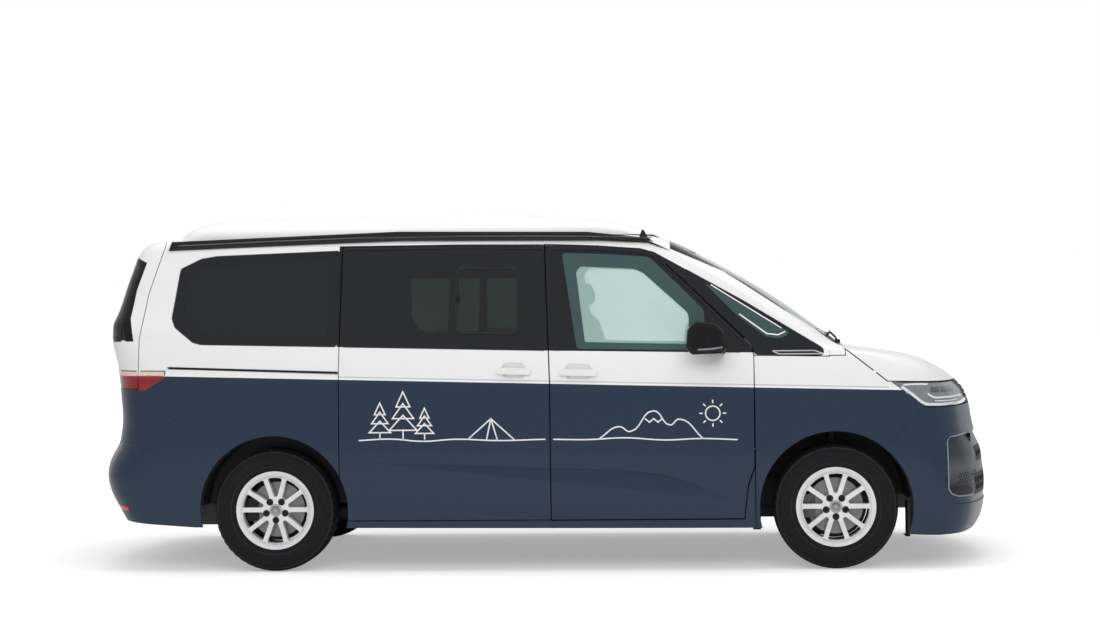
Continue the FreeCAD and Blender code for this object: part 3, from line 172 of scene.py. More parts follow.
def tyre_rubber():
    # Black rubber, with thin greyer rings on the shoulder and on the bead ridge as painted highlights.
    look = Look("tyre_rubber")
    x, y, z = look.parts()
    middle, half = (front_axle + rear_axle) / 2, (front_axle - rear_axle) / 2
    radius = axle_distance(abs(x - middle) - half, z)
    shoulder = (radius > 0.3235) * (radius < 0.3270)
    bead = (radius > 0.2450) * (radius < 0.2470)
    grain = look.noise(60.0, 4.0)
    black = look.tones(grain, (0.007, 0.007, 0.008), (0.013, 0.013, 0.015))
    # Painted highlight: the rings are greyer where the shoulder and the bead ridge would catch the
    # light.
    ring_highlight = look.tones(grain, (0.030, 0.030, 0.033), (0.046, 0.046, 0.050))
    look.shader(Base_Color=look.mix(shoulder.math("MAXIMUM", bead), black, ring_highlight),
                Roughness=look.spread(grain, 0.6, 0.8), Specular_IOR_Level=0.18)
    look.bump(look.noise(400.0, 2.0), 0.4, 0.0008)
    return look.material


# The upper edge of the black window frames in the side view.
frame_top = [(-1.12, 1.823), (-0.40, 1.823), (0.05, 1.812), (0.35, 1.803), (0.594, 1.785),
             (0.712, 1.757), (0.833, 1.674), (1.168, 1.484), (1.586, 1.226)]


def lowest_line(x, places):
    # The lowest of the straight lines through each two neighbouring points of the side view.
    lowest = None
    for (start, low), (end, high) in zip(places, places[1:]):
        slope = (high - low) / (end - start)
        line = x * slope + (low - slope * start)
        lowest = lowest.math("MINIMUM", line) if lowest else line
    return lowest


def blacked_out(x, y, z):
    # Where the frames round the side windows and beside the rear window are gloss black.
    sill = (x * -0.02835 + 1.2244).math("MAXIMUM", x * -0.0208 + 1.2238)
    band = (z > sill) * (z < lowest_line(x, frame_top)) * (x > -1.103) * (x < 1.225) * (abs(y) > 0.5)
    edge = (z * 0.18 + -2.56).math("MAXIMUM", -2.295)
    return band.math("MAXIMUM", (x < edge) * (z > 1.306) * (z < 1.738))


def white_tones(look, grain):
    return look.tones(grain, (0.80, 0.80, 0.80), (0.84, 0.84, 0.84))


def body_paint():
    # White over slate blue, parted along the belt crease, with a painted shade band of the crease just
    # above the parting, and a faint orange peel.
    look = Look("body_paint")
    x, y, z = look.parts()
    height = z + x * -belt_slope
    grain = look.noise(900.0, 2.0)
    blue = look.tones(grain, (0.009, 0.022, 0.048), (0.014, 0.031, 0.064))
    crease_shade = look.tones(grain, (0.50, 0.52, 0.56), (0.54, 0.56, 0.60))
    black = look.tones(grain, (0.006, 0.007, 0.010), (0.009, 0.010, 0.014))
    # Painted shade: a grey band 11 to 18 mm above the parting, where the crease falls into shade.
    line = (height > belt_height + 0.011) * (height < belt_height + 0.018)
    crease = line * (x > -1.09) * (x < 1.95)
    painted = look.mix(crease, look.mix(height > belt_height, blue, white_tones(look, grain)), crease_shade)
    look.shader(Base_Color=look.mix(blacked_out(x, y, z), painted, black),
                Roughness=look.spread(grain, 0.25, 0.31), Specular_IOR_Level=0.32, Coat_Weight=0.18,
                Coat_Roughness=0.03)
    look.bump(look.noise(700.0, 1.0), 0.05, 0.00005)
    return look.material


def glass(name, tint, alpha, rough=0.02, specular=0.5):
    look = Look(name)
    film = look.noise(2.0)
    look.shader(Base_Color=look.tones(film, [c * 0.85 for c in tint], tint),
                Roughness=look.spread(film, rough, rough + 0.02), Alpha=alpha,
                Specular_IOR_Level=specular)
    return look.material


def wheel_silver(name, axle):
    # Silver paint on the spokes, the steel of the brake disc that turns behind them, and painted
    # shade, near black, on the barrel inside the spokes.
    look = Look(name)
    x, y, z = look.parts()
    radius = axle_distance(x - axle, z)
    inside = abs(y) < 0.8235
    disc, barrel = inside * (radius < disc_radius), inside * (radius > disc_radius)
    grain = look.noise(35.0, 4.0)
    silver = look.tones(grain, (0.78, 0.78, 0.79), (0.85, 0.85, 0.86))
    # Painted shade: the barrel behind the spokes is near black.
    barrel_shade = look.tones(grain, (0.020, 0.020, 0.022), (0.045, 0.045, 0.048))
    rings = look.new("TexNoise")
    rings.noise_dimensions = "1D"
    look.feed(rings, Scale=260.0, W=radius)
    steel = look.tones(look.output(rings, "Fac"), (0.20, 0.195, 0.19), (0.34, 0.33, 0.32))
    look.shader(Base_Color=look.mix(barrel, look.mix(disc, silver, steel), barrel_shade),
                Roughness=look.spread(grain, 0.26, 0.36), Metallic=0.35, Coat_Weight=0.4,
                Coat_Roughness=0.05)
    look.bump(look.noise(500.0, 2.0), 0.2, 0.0002)
    return look.material


def ribbed_lens(name, deep, pale, split_height, band):
    # A lamp lens with a pale band above its colour and fine upright ribs.
    look = Look(name)
    film = look.noise(30.0, 2.0)
    share = look.spread(look.parts()[2], 0.0, 1.0, split_height, split_height + band)
    look.shader(Base_Color=look.mix(share, look.tones(film, deep, [c * 1.3 for c in deep]),
                                    look.tones(film, pale, [c * 1.1 for c in pale])),
                Roughness=look.spread(film, 0.05, 0.09), Coat_Weight=0.5, Coat_Roughness=0.01)
    look.bump(look.output(look.new("TexWave", Scale=55.0, Vector=look.place), "Fac"), 0.25, 0.0008)
    return look.material


def painted_recess_light():
    # The grey of the bumper's corner recess over a fine grain, with painted shade at its top and
    # bottom and a lighter painted reflection across its middle, changing with height.
    look = Look("inset_grey")
    # Painted light: dark stops low and high, and a lighter blue-grey reflection band near mid-height.
    stops = [(0.0, (0.010, 0.010, 0.012)), (0.14, (0.012, 0.012, 0.015)),
             (0.21, (0.045, 0.047, 0.055)), (0.45, (0.085, 0.090, 0.108)),
             (0.66, (0.032, 0.037, 0.055)), (0.97, (0.014, 0.018, 0.030))]
    grain = look.noise(400.0, 2.0)
    share = look.spread(look.parts()[2], 0.0, 1.0, 0.40, 0.73) + look.spread(grain, -0.02, 0.02)
    look.shader(Base_Color=look.ramp(share, stops), Roughness=look.spread(grain, 0.25, 0.4),
                Specular_IOR_Level=0.3)
    look.bump(grain, 0.1, 0.0002)
    return look.material


def cowl_surface():
    # Black plastic below the windscreen, with both outer ends in white paint.
    look = Look("cowl_surface")
    grain = look.noise(500.0, 2.0)
    black = look.tones(grain, (0.010, 0.010, 0.011), (0.020, 0.020, 0.021))
    ends = abs(look.parts()[1]) > 0.665
    look.shader(Base_Color=look.mix(ends, black, white_tones(look, grain)),
                Roughness=look.spread(grain, 0.35, 0.5))
    look.bump(grain, 0.15, 0.0003)
    return look.material


def woven(name, low, high, thread, depth):
    # Cloth: two crossing sets of threads in the bump, with a soft mottle in the colour.
    look = Look(name)
    mottle = look.noise(45.0, 5.0)
    look.shader(Base_Color=look.tones(mottle, low, high), Roughness=look.spread(mottle, 0.82, 0.95),
                Sheen_Weight=0.25, Sheen_Roughness=0.5)
    heights = []
    for direction in "YZ":
        wave = look.new("TexWave", Scale=thread, Distortion=0.6, Vector=look.place)
        wave.bands_direction = direction
        heights.append(look.output(wave, "Fac"))
    look.bump(heights[0] * heights[1], 0.5, depth)
    return look.material


def leather(name, low, high):
    look = Look(name)
    mottle = look.noise(18.0, 4.0)
    look.shader(Base_Color=look.tones(mottle, low, high), Roughness=look.spread(mottle, 0.42, 0.58))
    cells = look.new("TexVoronoi", Scale=420.0, Vector=look.place)
    look.bump(look.output(cells, "Distance"), 0.35, 0.0006)
    return look.material


paint = body_paint()
clear_glass = glass("clear_glass", (0.30, 0.50, 0.47), 0.30)
front_glass = glass("front_glass", (0.64, 0.92, 0.85), 0.34)
dark_glass = glass("dark_glass", (0.010, 0.012, 0.016), 0.94, specular=0.42)
tinted_glass = glass("tinted_glass", (0.014, 0.026, 0.022), 0.70, specular=0.42)
black_pane = glass("black_pane", (0.006, 0.007, 0.010), 1.0, 0.03, specular=0.42)
green_border = glass("green_border", (0.050, 0.088, 0.090), 1.0, 0.05, specular=0.3)
lamp_lens = glass("lamp_lens", (0.40, 0.44, 0.47), 0.15, 0.01)
mirror_silver = plain_surface("mirror_silver", (0.80, 0.82, 0.83), (0.86, 0.87, 0.88), 8.0,
                              (0.02, 0.05), 60.0, 0.00005, metallic=1.0)
chrome = plain_surface("chrome", (0.70, 0.71, 0.72), (0.80, 0.81, 0.82), 25.0, (0.08, 0.16), 300.0,
                       0.0001, metallic=0.9)
black_gloss = plain_surface("black_gloss", (0.003, 0.003, 0.004), (0.006, 0.006, 0.007), 40.0,
                            (0.10, 0.18), 300.0, 0.0002, coat=0.05, specular=0.25)
black_plastic = plain_surface("black_plastic", (0.012, 0.012, 0.013), (0.022, 0.022, 0.023), 180.0,
                              (0.48, 0.62), 900.0, 0.0006, specular=0.35)
soft_plastic = plain_surface("soft_plastic", (0.030, 0.031, 0.034), (0.045, 0.046, 0.050), 220.0,
                             (0.62, 0.78), 1100.0, 0.0008, specular=0.3)
rubber = tyre_rubber()
silver_alloy = plain_surface("silver_alloy", (0.56, 0.56, 0.57), (0.64, 0.64, 0.65), 30.0,
                             (0.24, 0.34), 500.0, 0.0002, metallic=0.45, coat=0.4)
dark_metal = plain_surface("dark_metal", (0.03, 0.03, 0.03), (0.07, 0.068, 0.065), 14.0,
                           (0.5, 0.75), 90.0, 0.0008, metallic=0.4)
chassis_coat = plain_surface("chassis_coat", (0.012, 0.012, 0.012), (0.030, 0.029, 0.028), 22.0,
                             (0.5, 0.72), 130.0, 0.0009, metallic=0.2)
cast_metal = plain_surface("cast_metal", (0.12, 0.12, 0.12), (0.20, 0.195, 0.19), 20.0,
                           (0.5, 0.7), 150.0, 0.001, metallic=0.7)
steel_pipe = plain_surface("steel_pipe", (0.050, 0.047, 0.044), (0.110, 0.103, 0.096), 12.0,
                           (0.35, 0.6), 120.0, 0.0005, metallic=0.85)
cabinet_laminate = plain_surface("cabinet_laminate", (0.30, 0.30, 0.29), (0.36, 0.355, 0.35), 25.0,
                                 (0.42, 0.55), 300.0, 0.0003, stretch=(1, 1, 8))
lamp_band = plain_surface("lamp_band", (0.74, 0.50, 0.47), (0.82, 0.62, 0.58), 60.0, (0.08, 0.14),
                          300.0, 0.0002)
# A pale blue-grey for the painted highlight round the bumper's corner recesses.
rim_highlight = plain_surface("rim_highlight", (0.20, 0.215, 0.26), (0.26, 0.28, 0.33), 40.0, (0.25, 0.35),
                          300.0, 0.0002)
rail_line = plain_surface("rail_line", (0.10, 0.10, 0.12), (0.14, 0.14, 0.165), 60.0, (0.3, 0.4),
                          300.0, 0.0002)
lamp_bowl = plain_surface("lamp_bowl", (0.19, 0.21, 0.24), (0.27, 0.29, 0.33), 30.0, (0.2, 0.3),
                          200.0, 0.0003, metallic=0.5, coat=0.5)
lamp_bar = plain_surface("lamp_bar", (0.012, 0.018, 0.045), (0.020, 0.028, 0.065), 50.0, (0.08, 0.14),
                         300.0, 0.0002, coat=0.5)
light_guide = plain_surface("light_guide", (0.82, 0.84, 0.86), (0.90, 0.92, 0.94), 60.0,
                            (0.15, 0.25), 400.0, 0.0003)
white_film = plain_surface("white_film", (0.78, 0.79, 0.80), (0.84, 0.85, 0.86), 120.0,
                           (0.35, 0.45), 600.0, 0.0002)
plate_white = plain_surface("plate_white", (0.70, 0.70, 0.69), (0.76, 0.76, 0.75), 90.0,
                            (0.3, 0.4), 500.0, 0.0002)
red_lens = ribbed_lens("red_lens", (0.20, 0.003, 0.005), (0.80, 0.56, 0.53), 1.104, 0.004)
reflector_red = ribbed_lens("reflector_red", (0.42, 0.010, 0.012), (0.45, 0.02, 0.02), 9.0, 0.1)
inset_grey = painted_recess_light()
seat_cloth = woven("seat_cloth", (0.040, 0.041, 0.046), (0.070, 0.072, 0.080), 160.0, 0.0012)
tent_cloth = woven("tent_cloth", (0.20, 0.21, 0.22), (0.27, 0.28, 0.29), 220.0, 0.0006)
seat_side = leather("seat_side", (0.020, 0.020, 0.022), (0.034, 0.034, 0.037))
wheel_leather = leather("wheel_leather", (0.012, 0.012, 0.013), (0.022, 0.022, 0.024))


def surface(piece, *materials):
    piece.data.materials.clear()
    for material in materials:
        piece.data.materials.append(material)
    return piece


for cad_material, names in (
        (paint, "body_side_right body_side_left fender_right fender_left roof_frame bonnet "
                "front_bumper rear_bumper door_right door_left sliding_door_right "
                "sliding_door_left tailgate pop_top_shell"),
        (cowl_surface(), "cowl_panel"), (black_plastic, "grille wheel_arch_liners roof_rails"),
        (soft_plastic, "dashboard"), (wheel_leather, "steering_wheel"),
        (clear_glass, "windscreen door_glass_right door_glass_left"),
        (dark_glass, "side_glasses sliding_door_glasses tailgate_glass"), (lamp_bowl, "headlamps"),
        (red_lens, "tail_lamps tailgate_lamps"), (black_gloss, "mirror_right mirror_left"),
        (tent_cloth, "tent_bellows"), (dark_metal, "floor_pan firewall"),
        (chassis_coat, "front_suspension rear_axle"), (seat_side, "front_seats rear_bench"),
        (cabinet_laminate, "kitchen_cabinet"), (cast_metal, "engine_block knuckle_right knuckle_left"),
        (steel_pipe, "exhaust"),
        (rubber, "tyre_front_right tyre_front_left tyre_rear_right tyre_rear_left"),
        (wheel_silver("front_wheel_silver", front_axle), "rim_front_right rim_front_left"),
        (wheel_silver("rear_wheel_silver", rear_axle), "rim_rear_right rim_rear_left")):
    for node in names.split():
        surface(nodes[node], cad_material)


# Tools for the maker ----------------------------------------------------------------------------

# How far out beside the van the drawings are stood up and the rays start.
beside = 1.15
origin = (0, 0, 0)


def deselect():
    if bpy.context.object and bpy.context.object.mode != "OBJECT":
        bpy.ops.object.mode_set(mode="OBJECT")
    bpy.ops.object.select_all(action="DESELECT")


def make_active(*pieces):
    deselect()
    for piece in pieces:
        piece.select_set(True)
    bpy.context.view_layer.objects.active = pieces[0]


def settle(piece):
    # Place, turn and size go into the mesh, as a CAD node has them.
    make_active(piece)
    bpy.ops.object.transform_apply(location=True, rotation=True, scale=True)
    return piece


def edit(piece, mode="FACE"):
    make_active(piece)
    bpy.ops.object.mode_set(mode="EDIT")
    bpy.ops.mesh.select_mode(type=mode)
    bpy.ops.mesh.select_all(action="SELECT")


def done(piece):
    bpy.ops.object.mode_set(mode="OBJECT")
    return piece


def pick(piece, wanted, mode="FACE"):
    # In edit mode, the faces (or edges) whose middle and direction pass the test are selected.
    bpy.ops.mesh.select_mode(type=mode)
    bpy.ops.mesh.select_all(action="DESELECT")
    mesh = bmesh.from_edit_mesh(piece.data)
    if mode == "FACE":
        for face in mesh.faces:
            face.select = bool(wanted(face.calc_center_median(), face.normal))
    else:
        for edge in mesh.edges:
            one, other = edge.verts
            edge.select = bool(wanted((one.co + other.co) / 2, (one.co - other.co).normalized()))
    mesh.select_flush_mode()
    bmesh.update_edit_mesh(piece.data)


def evened(piece, weld=0.0):
    # Points closer than the weld become one, and all faces turn outwards.
    edit(piece)
    if weld:
        bpy.ops.mesh.remove_doubles(threshold=weld)
    bpy.ops.mesh.normals_make_consistent(inside=False)
    return done(piece)


def framed(piece, wanted, *insets, **settings):
    # The faces that pass the test are set in, once for each width and depth.
    edit(piece)
    pick(piece, wanted)
    for width, depth in insets:
        bpy.ops.mesh.inset(thickness=width, depth=depth, **settings)
    return done(piece)


def sideways(middle, normal):
    return abs(normal.y) > 0.9


def modified(piece, kind, **settings):
    make_active(piece)
    modifier = piece.modifiers.new(kind.lower(), kind)
    for name, value in settings.items():
        setattr(modifier, name, value)
    bpy.ops.object.modifier_apply(modifier=modifier.name)
    return piece


def divided(piece, levels):
    return modified(piece, "SUBSURF", levels=levels, render_levels=levels, subdivision_type="SIMPLE")


def smooth(piece, angle=35):
    make_active(piece)
    bpy.ops.object.shade_smooth_by_angle(angle=math.radians(angle))
    return piece


def rides(piece, body, slot, *replaced):
    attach(piece, body)
    if replaced:
        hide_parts(*replaced)
    return piece


def fitted(piece, material=black_plastic, slot="black_trim", body="vehicle_body", *replaced):
    return rides(surface(piece, material), body, slot, *replaced)


def copy_of(source, name):
    piece = source.copy()
    piece.data = source.data.copy()
    piece.name = piece.data.name = name
    for key in [key for key in piece.keys() if key.startswith("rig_")]:
        del piece[key]
    piece.parent = None
    piece.matrix_world = Matrix.Identity(4)
    bpy.context.scene.collection.objects.link(piece)
    piece.hide_render = piece.hide_viewport = False
    return piece


def node_copy(node, name):
    piece = copy_of(nodes[node], name)
    edit(piece)
    bpy.ops.mesh.remove_doubles(threshold=0.00001)
    return done(piece)


def other_side(piece, name):
    # The same piece for the left side of the van.
    twin = copy_of(piece, name)
    twin.scale = (1, -1, 1)
    return evened(settle(twin))


def moved(piece, name, offset, turn=0.0):
    twin = copy_of(piece, name)
    twin.rotation_euler = (0, turn, 0)
    twin.location = offset
    return settle(twin)


def joined(name, *pieces):
    make_active(*pieces)
    if len(pieces) > 1:
        bpy.ops.object.join()
    piece = bpy.context.view_layer.objects.active
    piece.name = piece.data.name = name
    return piece


def made(name, add, **settings):
    deselect()
    add(**settings)
    piece = bpy.context.object
    piece.name = name
    return settle(piece)


def eased(piece, edge):
    if edge:
        modified(piece, "BEVEL", width=edge, segments=2, limit_method="ANGLE")
    return smooth(piece)


def block(name, low, high, edge=0.0):
    # A block between two corners with its edges eased.
    low, high = [min(pair) for pair in zip(low, high)], [max(pair) for pair in zip(low, high)]
    return eased(made(name, bpy.ops.mesh.primitive_cube_add, size=1,
                      location=[(a + b) / 2 for a, b in zip(low, high)],
                      scale=[b - a for a, b in zip(low, high)]), edge)


def drum(name, radius, length, middle, along, edge=0.0, sides=48):
    # A round bar along Y or Z, with its rims eased.
    turn = (math.pi / 2, 0, 0) if along == "Y" else (0, 0, 0)
    return eased(made(name, bpy.ops.mesh.primitive_cylinder_add, vertices=sides, radius=radius,
                      depth=length, location=middle, rotation=turn), edge)


def drawn(name):
    # A piece without faces in edit mode, and its mesh, whose points are then set one by one.
    piece = made(name, bpy.ops.mesh.primitive_plane_add, size=0.01, location=origin)
    edit(piece, "VERT")
    mesh = bmesh.from_edit_mesh(piece.data)
    bmesh.ops.delete(mesh, geom=list(mesh.verts), context="VERTS")
    return piece, mesh


def bent_sheet(name, columns, rows, place, thickness, offset):
    # A grid whose points go where the function of their two shares says, with its thickness.
    piece = made(name, bpy.ops.mesh.primitive_grid_add, size=1, x_subdivisions=columns,
                 y_subdivisions=rows, location=origin)
    for vertex in piece.data.vertices:
        vertex.co = place(vertex.co.x + 0.5, vertex.co.y + 0.5)
    return smooth(evened(modified(piece, "SOLIDIFY", thickness=thickness, offset=offset)))


def centre_of(outline):
    return Vector((sum(p[0] for p in outline), sum(p[1] for p in outline))) / len(outline)


def corners_of(outline):
    return [[end(p[part] for p in outline) for part in (0, 1)] for end in (min, max)]


def trim(piece, outline, spot, **settings):
    # What lies outside a convex outline is cut off, plane by plane. Edit mode stays on.
    centre = spot(*centre_of(outline), 0)
    edit(piece)
    for one, other in zip(outline, outline[1:] + outline[:1]):
        start = spot(*one, 0)
        normal = (spot(*other, 0) - start).cross(spot(0, 0, 1)).normalized()
        if normal.dot(centre - start) > 0:
            normal = -normal
        bpy.ops.mesh.select_all(action="SELECT")
        bpy.ops.mesh.bisect(plane_co=start, plane_no=normal, clear_outer=True, **settings)


def prism(outline, near, far, corner, axis="Y"):
    # A bar along an axis whose end view is a convex outline.
    def spot(a, b, c):
        return Vector((a, c, b)) if axis == "Y" else Vector((c, a, b))

    (left_end, low), (right_end, high) = corners_of(outline)
    piece = block("prism", spot(left_end - 0.01, low - 0.01, near),
                  spot(right_end + 0.01, high + 0.01, far))
    trim(piece, outline, spot, use_fill=True)
    if corner:
        pick(piece, lambda middle, lie: abs(lie.dot(spot(0, 0, 1))) > 0.99, "EDGE")
        bpy.ops.mesh.bevel(offset=corner, offset_type="OFFSET", segments=6, affect="EDGES",
                           clamp_overlap=True)
    return done(piece)


def patch(name, outline, step):
    # A fine flat sheet, cut to a convex outline of the side view.
    (start, low), (end, high) = corners_of(outline)
    wide, tall = end - start, high - low
    piece = made(name, bpy.ops.mesh.primitive_grid_add, size=1, x_subdivisions=round(wide / step),
                 y_subdivisions=round(tall / step), location=origin)
    piece.scale = (wide, tall, 1)
    piece.location = (start + wide / 2, low + tall / 2, 0)
    trim(settle(piece), outline, lambda a, b, c: Vector((a, b, c)))
    return done(piece)


def loose_parts(piece):
    edit(piece)
    bpy.ops.mesh.separate(type="LOOSE")
    done(piece)
    return list(bpy.context.selected_objects)


def middle_of(piece):
    vertices = piece.data.vertices
    return sum((vertex.co for vertex in vertices), Vector(origin)) / len(vertices)


def tree_of(piece):
    mesh = piece.data
    return BVHTree.FromPolygons([vertex.co for vertex in mesh.vertices],
                                [face.vertices for face in mesh.polygons])


def seen_from_side(tree, x, z, side):
    # The place on the skin that is seen there from beside the van, and its normal.
    return tree.ray_cast(Vector((x, side * beside, z)), Vector((0, -side, 0)))[:2]


def line_through(curve, places, flowing=True):
    spline = curve.splines.new("BEZIER" if flowing else "POLY")
    knots = spline.bezier_points if flowing else spline.points
    knots.add(len(places) - 1)
    for knot, place in zip(knots, places):
        if flowing:
            knot.co = place
            knot.handle_left_type = knot.handle_right_type = "AUTO"
        else:
            knot.co = (*place, 1)
    return spline


def linked(name, data):
    piece = bpy.data.objects.new(name, data)
    bpy.context.scene.collection.objects.link(piece)
    return piece


def meshed(name, curve):
    make_active(linked(name, curve))
    bpy.ops.object.convert(target="MESH")
    return bpy.context.object


def rod(name, points, radius, sides=3):
    # A round bar that follows a smooth line.
    curve = bpy.data.curves.new(name, "CURVE")
    curve.dimensions = "3D"
    curve.bevel_depth = radius
    curve.bevel_resolution = sides
    curve.use_fill_caps = True
    line_through(curve, points)
    return smooth(meshed(name, curve))


def ribbon(points, width, side, levels=0, closed=False, flowing=False):
    # A flat strip that follows a line of the side view, stood up beside the van's side.
    profile = bpy.data.curves.new("profile", "CURVE")
    line_through(profile, [(-width / 2, 0, 0), (width / 2, 0, 0)], False)
    profile_object = linked("profile", profile)
    curve = bpy.data.curves.new("ribbon", "CURVE")
    curve.dimensions = "2D"
    curve.fill_mode = "NONE"
    curve.resolution_u = 6
    curve.bevel_mode = "OBJECT"
    curve.bevel_object = profile_object
    line_through(curve, [(x, z, 0) for x, z in points], flowing).use_cyclic_u = closed
    piece = meshed("ribbon", curve)
    bpy.data.objects.remove(profile_object)
    piece = stood(piece, side)
    return divided(piece, levels) if levels else piece


def stood(piece, side):
    # A drawing made flat is stood up beside the van's side.
    piece.rotation_euler = (math.pi / 2, 0, 0)
    piece.location = (0, side * beside, 0)
    return settle(piece)


def laid_on(piece, carrier, lift, thickness, side):
    # A sheet is pressed across the van onto the skin that carries it and given its thickness.
    # Rays that pass the skin and land near the middle or far inside don't count.
    least_out, most_inward = 0.3, 0.22
    tree = tree_of(carrier)
    vertices = piece.data.vertices
    found = {}
    for vertex in vertices:
        place = seen_from_side(tree, vertex.co.x, vertex.co.z, side)[0]
        if place is not None and place.y * side > least_out:
            found[vertex.index] = place.y
    usual = sorted(abs(depth) for depth in found.values())[len(found) // 2]
    good = {index: depth for index, depth in found.items() if abs(depth) > usual - most_inward}
    for vertex in vertices:
        near = vertex.index
        if near not in good:
            near = min(good, key=lambda index: (vertices[index].co.x - vertex.co.x) ** 2
                       + (vertices[index].co.z - vertex.co.z) ** 2)
        vertex.co.y = good[near] + side * lift
    evened(piece, 0.00002)
    edit(piece)
    bpy.ops.mesh.extrude_region_move(TRANSFORM_OT_translate={"value": (0, side * thickness, 0)})
    return evened(done(piece))


def strip(name, line, width, carrier, lift, thickness, side, levels=4, closed=False, flowing=False):
    piece = ribbon(line, width, side, levels, closed, flowing)
    piece.name = name
    return laid_on(piece, carrier, lift, thickness, side)


def strips(name, line, width, carrier, lift, thickness, material=black_plastic, slot="black_trim",
           body="vehicle_body", **settings):
    # The same strip on both sides of the van. In a name, %s stands for the side.
    for side, word in both_sides:
        skin = nodes[carrier.replace("%s", word)] if isinstance(carrier, str) else carrier
        piece = strip(name % word, line, width, skin, lift, thickness, side, **settings)
        fitted(piece, material, slot, body.replace("%s", word))


def curved(first, bend, last, share):
    return first * (1 - share) ** 2 + bend * 2 * share * (1 - share) + last * share ** 2


def rounded_line(outline, corner):
    points = []
    for before, spot, after in zip(outline[-1:] + outline, outline, outline[1:] + outline[:1]):
        spot = Vector(spot)
        first, last = (spot + (Vector(end) - spot).normalized() * corner for end in (before, after))
        points += [tuple(curved(first, spot, last, step / 4)) for step in range(5)]
    return points


# Glass ------------------------------------------------------------------------------------------

front_window = [(0.155, 1.767), (0.400, 1.757), (0.646, 1.737), (0.945, 1.437), (0.950, 1.215),
                (0.239, 1.230)]
front_window_clear = [(0.284, 1.267), (0.235, 1.660), (0.262, 1.689), (0.555, 1.672), (0.609, 1.648),
                      (0.850, 1.427), (0.860, 1.402), (0.860, 1.250)]
far_window_clear = [(0.270, 1.250), (0.205, 1.670), (0.240, 1.712), (0.590, 1.694), (0.650, 1.665),
                    (0.905, 1.425), (0.915, 1.400), (0.915, 1.236)]
rear_window = [(-1.160, 1.312), (-1.850, 1.330), (-1.975, 1.430), (-1.952, 1.664), (-1.860, 1.712),
               (-1.160, 1.738)]
sliding_window = [(-0.085, 1.310), (-0.950, 1.325), (-0.945, 1.672), (-0.085, 1.690)]
sliding_views = [
    [(-0.697, 1.634), (-0.470, 1.630), (-0.480, 1.326), (-0.618, 1.328), (-0.685, 1.413)],
    [(-0.423, 1.633), (-0.302, 1.631), (-0.306, 1.324), (-0.429, 1.325)],
    [(-0.264, 1.631), (-0.094, 1.628), (-0.097, 1.333), (-0.262, 1.335)]]
sliding_pane = [(-0.438, 1.690), (-0.092, 1.684), (-0.092, 1.322), (-0.434, 1.326)]
quarter_window = [(1.122, 1.410), (1.287, 1.284), (1.365, 1.274), (1.420, 1.306), (1.180, 1.450),
                  (0.945, 1.592)]
windscreen_clear = [(-0.770, 1.320), (0.770, 1.320), (0.640, 1.775), (-0.640, 1.775)]
tailgate_clear = [(-0.700, 1.325), (0.700, 1.325), (0.640, 1.690), (-0.640, 1.690)]


def bordered(pane, outline, corner, clear, border, reach, axis="Y"):
    # A pane is parted into the glass within its outline and the baked border outside it.
    window = prism(outline, *reach, corner, axis)
    middle = copy_of(pane, pane.name + "_middle")
    for piece, operation in ((middle, "INTERSECT"), (pane, "DIFFERENCE")):
        modified(piece, "BOOLEAN", operation=operation, object=window, solver="EXACT")
    bpy.data.objects.remove(window)
    surface(middle, clear)
    surface(pane, border)
    if not pane.data.vertices:
        bpy.data.objects.remove(pane)
        return [middle]
    return [pane, middle]


def reach_of(side):
    return sorted((side * 1.2, side * 0.5))


def side_of(part):
    return right if middle_of(part).y < 0 else left


def glazed(name, parts, *seat):
    return rides(smooth(joined(name, *parts), 20), *seat)


def door_glasses():
    for side, word in both_sides:
        name, reach = "front_door_pane_" + word, reach_of(side)
        pane = node_copy("door_glass_" + word, name)
        outer, inner = bordered(pane, front_window, 0.02, green_border, black_pane, reach)
        clear = front_window_clear if side == right else far_window_clear
        parts = bordered(inner, clear, 0.012, front_glass, green_border, reach)
        glazed(name, [outer] + parts, "front_door_" + word, "clear_glass", "door_glass_" + word)


def side_panes():
    # Rear quarter panes, and the black covers of the front pillars with their small windows.
    panes = []
    for part in loose_parts(node_copy("side_glasses", "fixed_side_glass")):
        reach = reach_of(side_of(part))
        if middle_of(part).x < 0:
            panes += bordered(part, rear_window, 0.04, dark_glass, black_pane, reach)
        else:
            panes += bordered(part, quarter_window, 0.018, green_border, black_pane, reach)
    return glazed("fixed_side_panes", panes, "vehicle_body", "dark_glass", "side_glasses")


def sliding_panes():
    panes = []
    for part in loose_parts(node_copy("sliding_door_glasses", "sliding_glass")):
        side = side_of(part)
        for view in sliding_views if side == right else [sliding_window]:
            part, clear = bordered(part, view, 0.008, tinted_glass, black_pane, reach_of(side))
            panes.append(clear)
        panes.append(part)
    pane = glazed("sliding_door_panes", panes, "vehicle_body", "dark_glass", "sliding_door_glasses")
    strips("sliding_pane_seal_%s", rounded_line(sliding_pane, 0.040), 0.012, pane, 0.0004, 0.0016,
           levels=0, closed=True)
    strips("pane_latch_%s", [(-0.425, 1.50), (-0.425, 1.53)], 0.022, pane, 0.0004, 0.003, black_gloss,
           levels=0)


def end_panes():
    pane = node_copy("windscreen", "windscreen_pane")
    parts = bordered(pane, windscreen_clear, 0.06, clear_glass, black_pane, (0.3, 2.2), "X")
    glazed("windscreen_pane", parts, "vehicle_body", "clear_glass", "windscreen")
    panes = []
    for part in loose_parts(node_copy("tailgate_glass", "rear_glass")):
        if abs(middle_of(part).y) > 0.5:
            panes.append(surface(part, black_gloss))
        else:
            panes += bordered(part, tailgate_clear, 0.05, dark_glass, black_pane, (-2.7, -2.0), "X")
    glazed("tailgate_panes", panes, "tailgate_door", "dark_glass", "tailgate_glass")


# Wheels -----------------------------------------------------------------------------------------

spin_steps = 144
bolt_circle = 0.056
valve_seat = 0.862


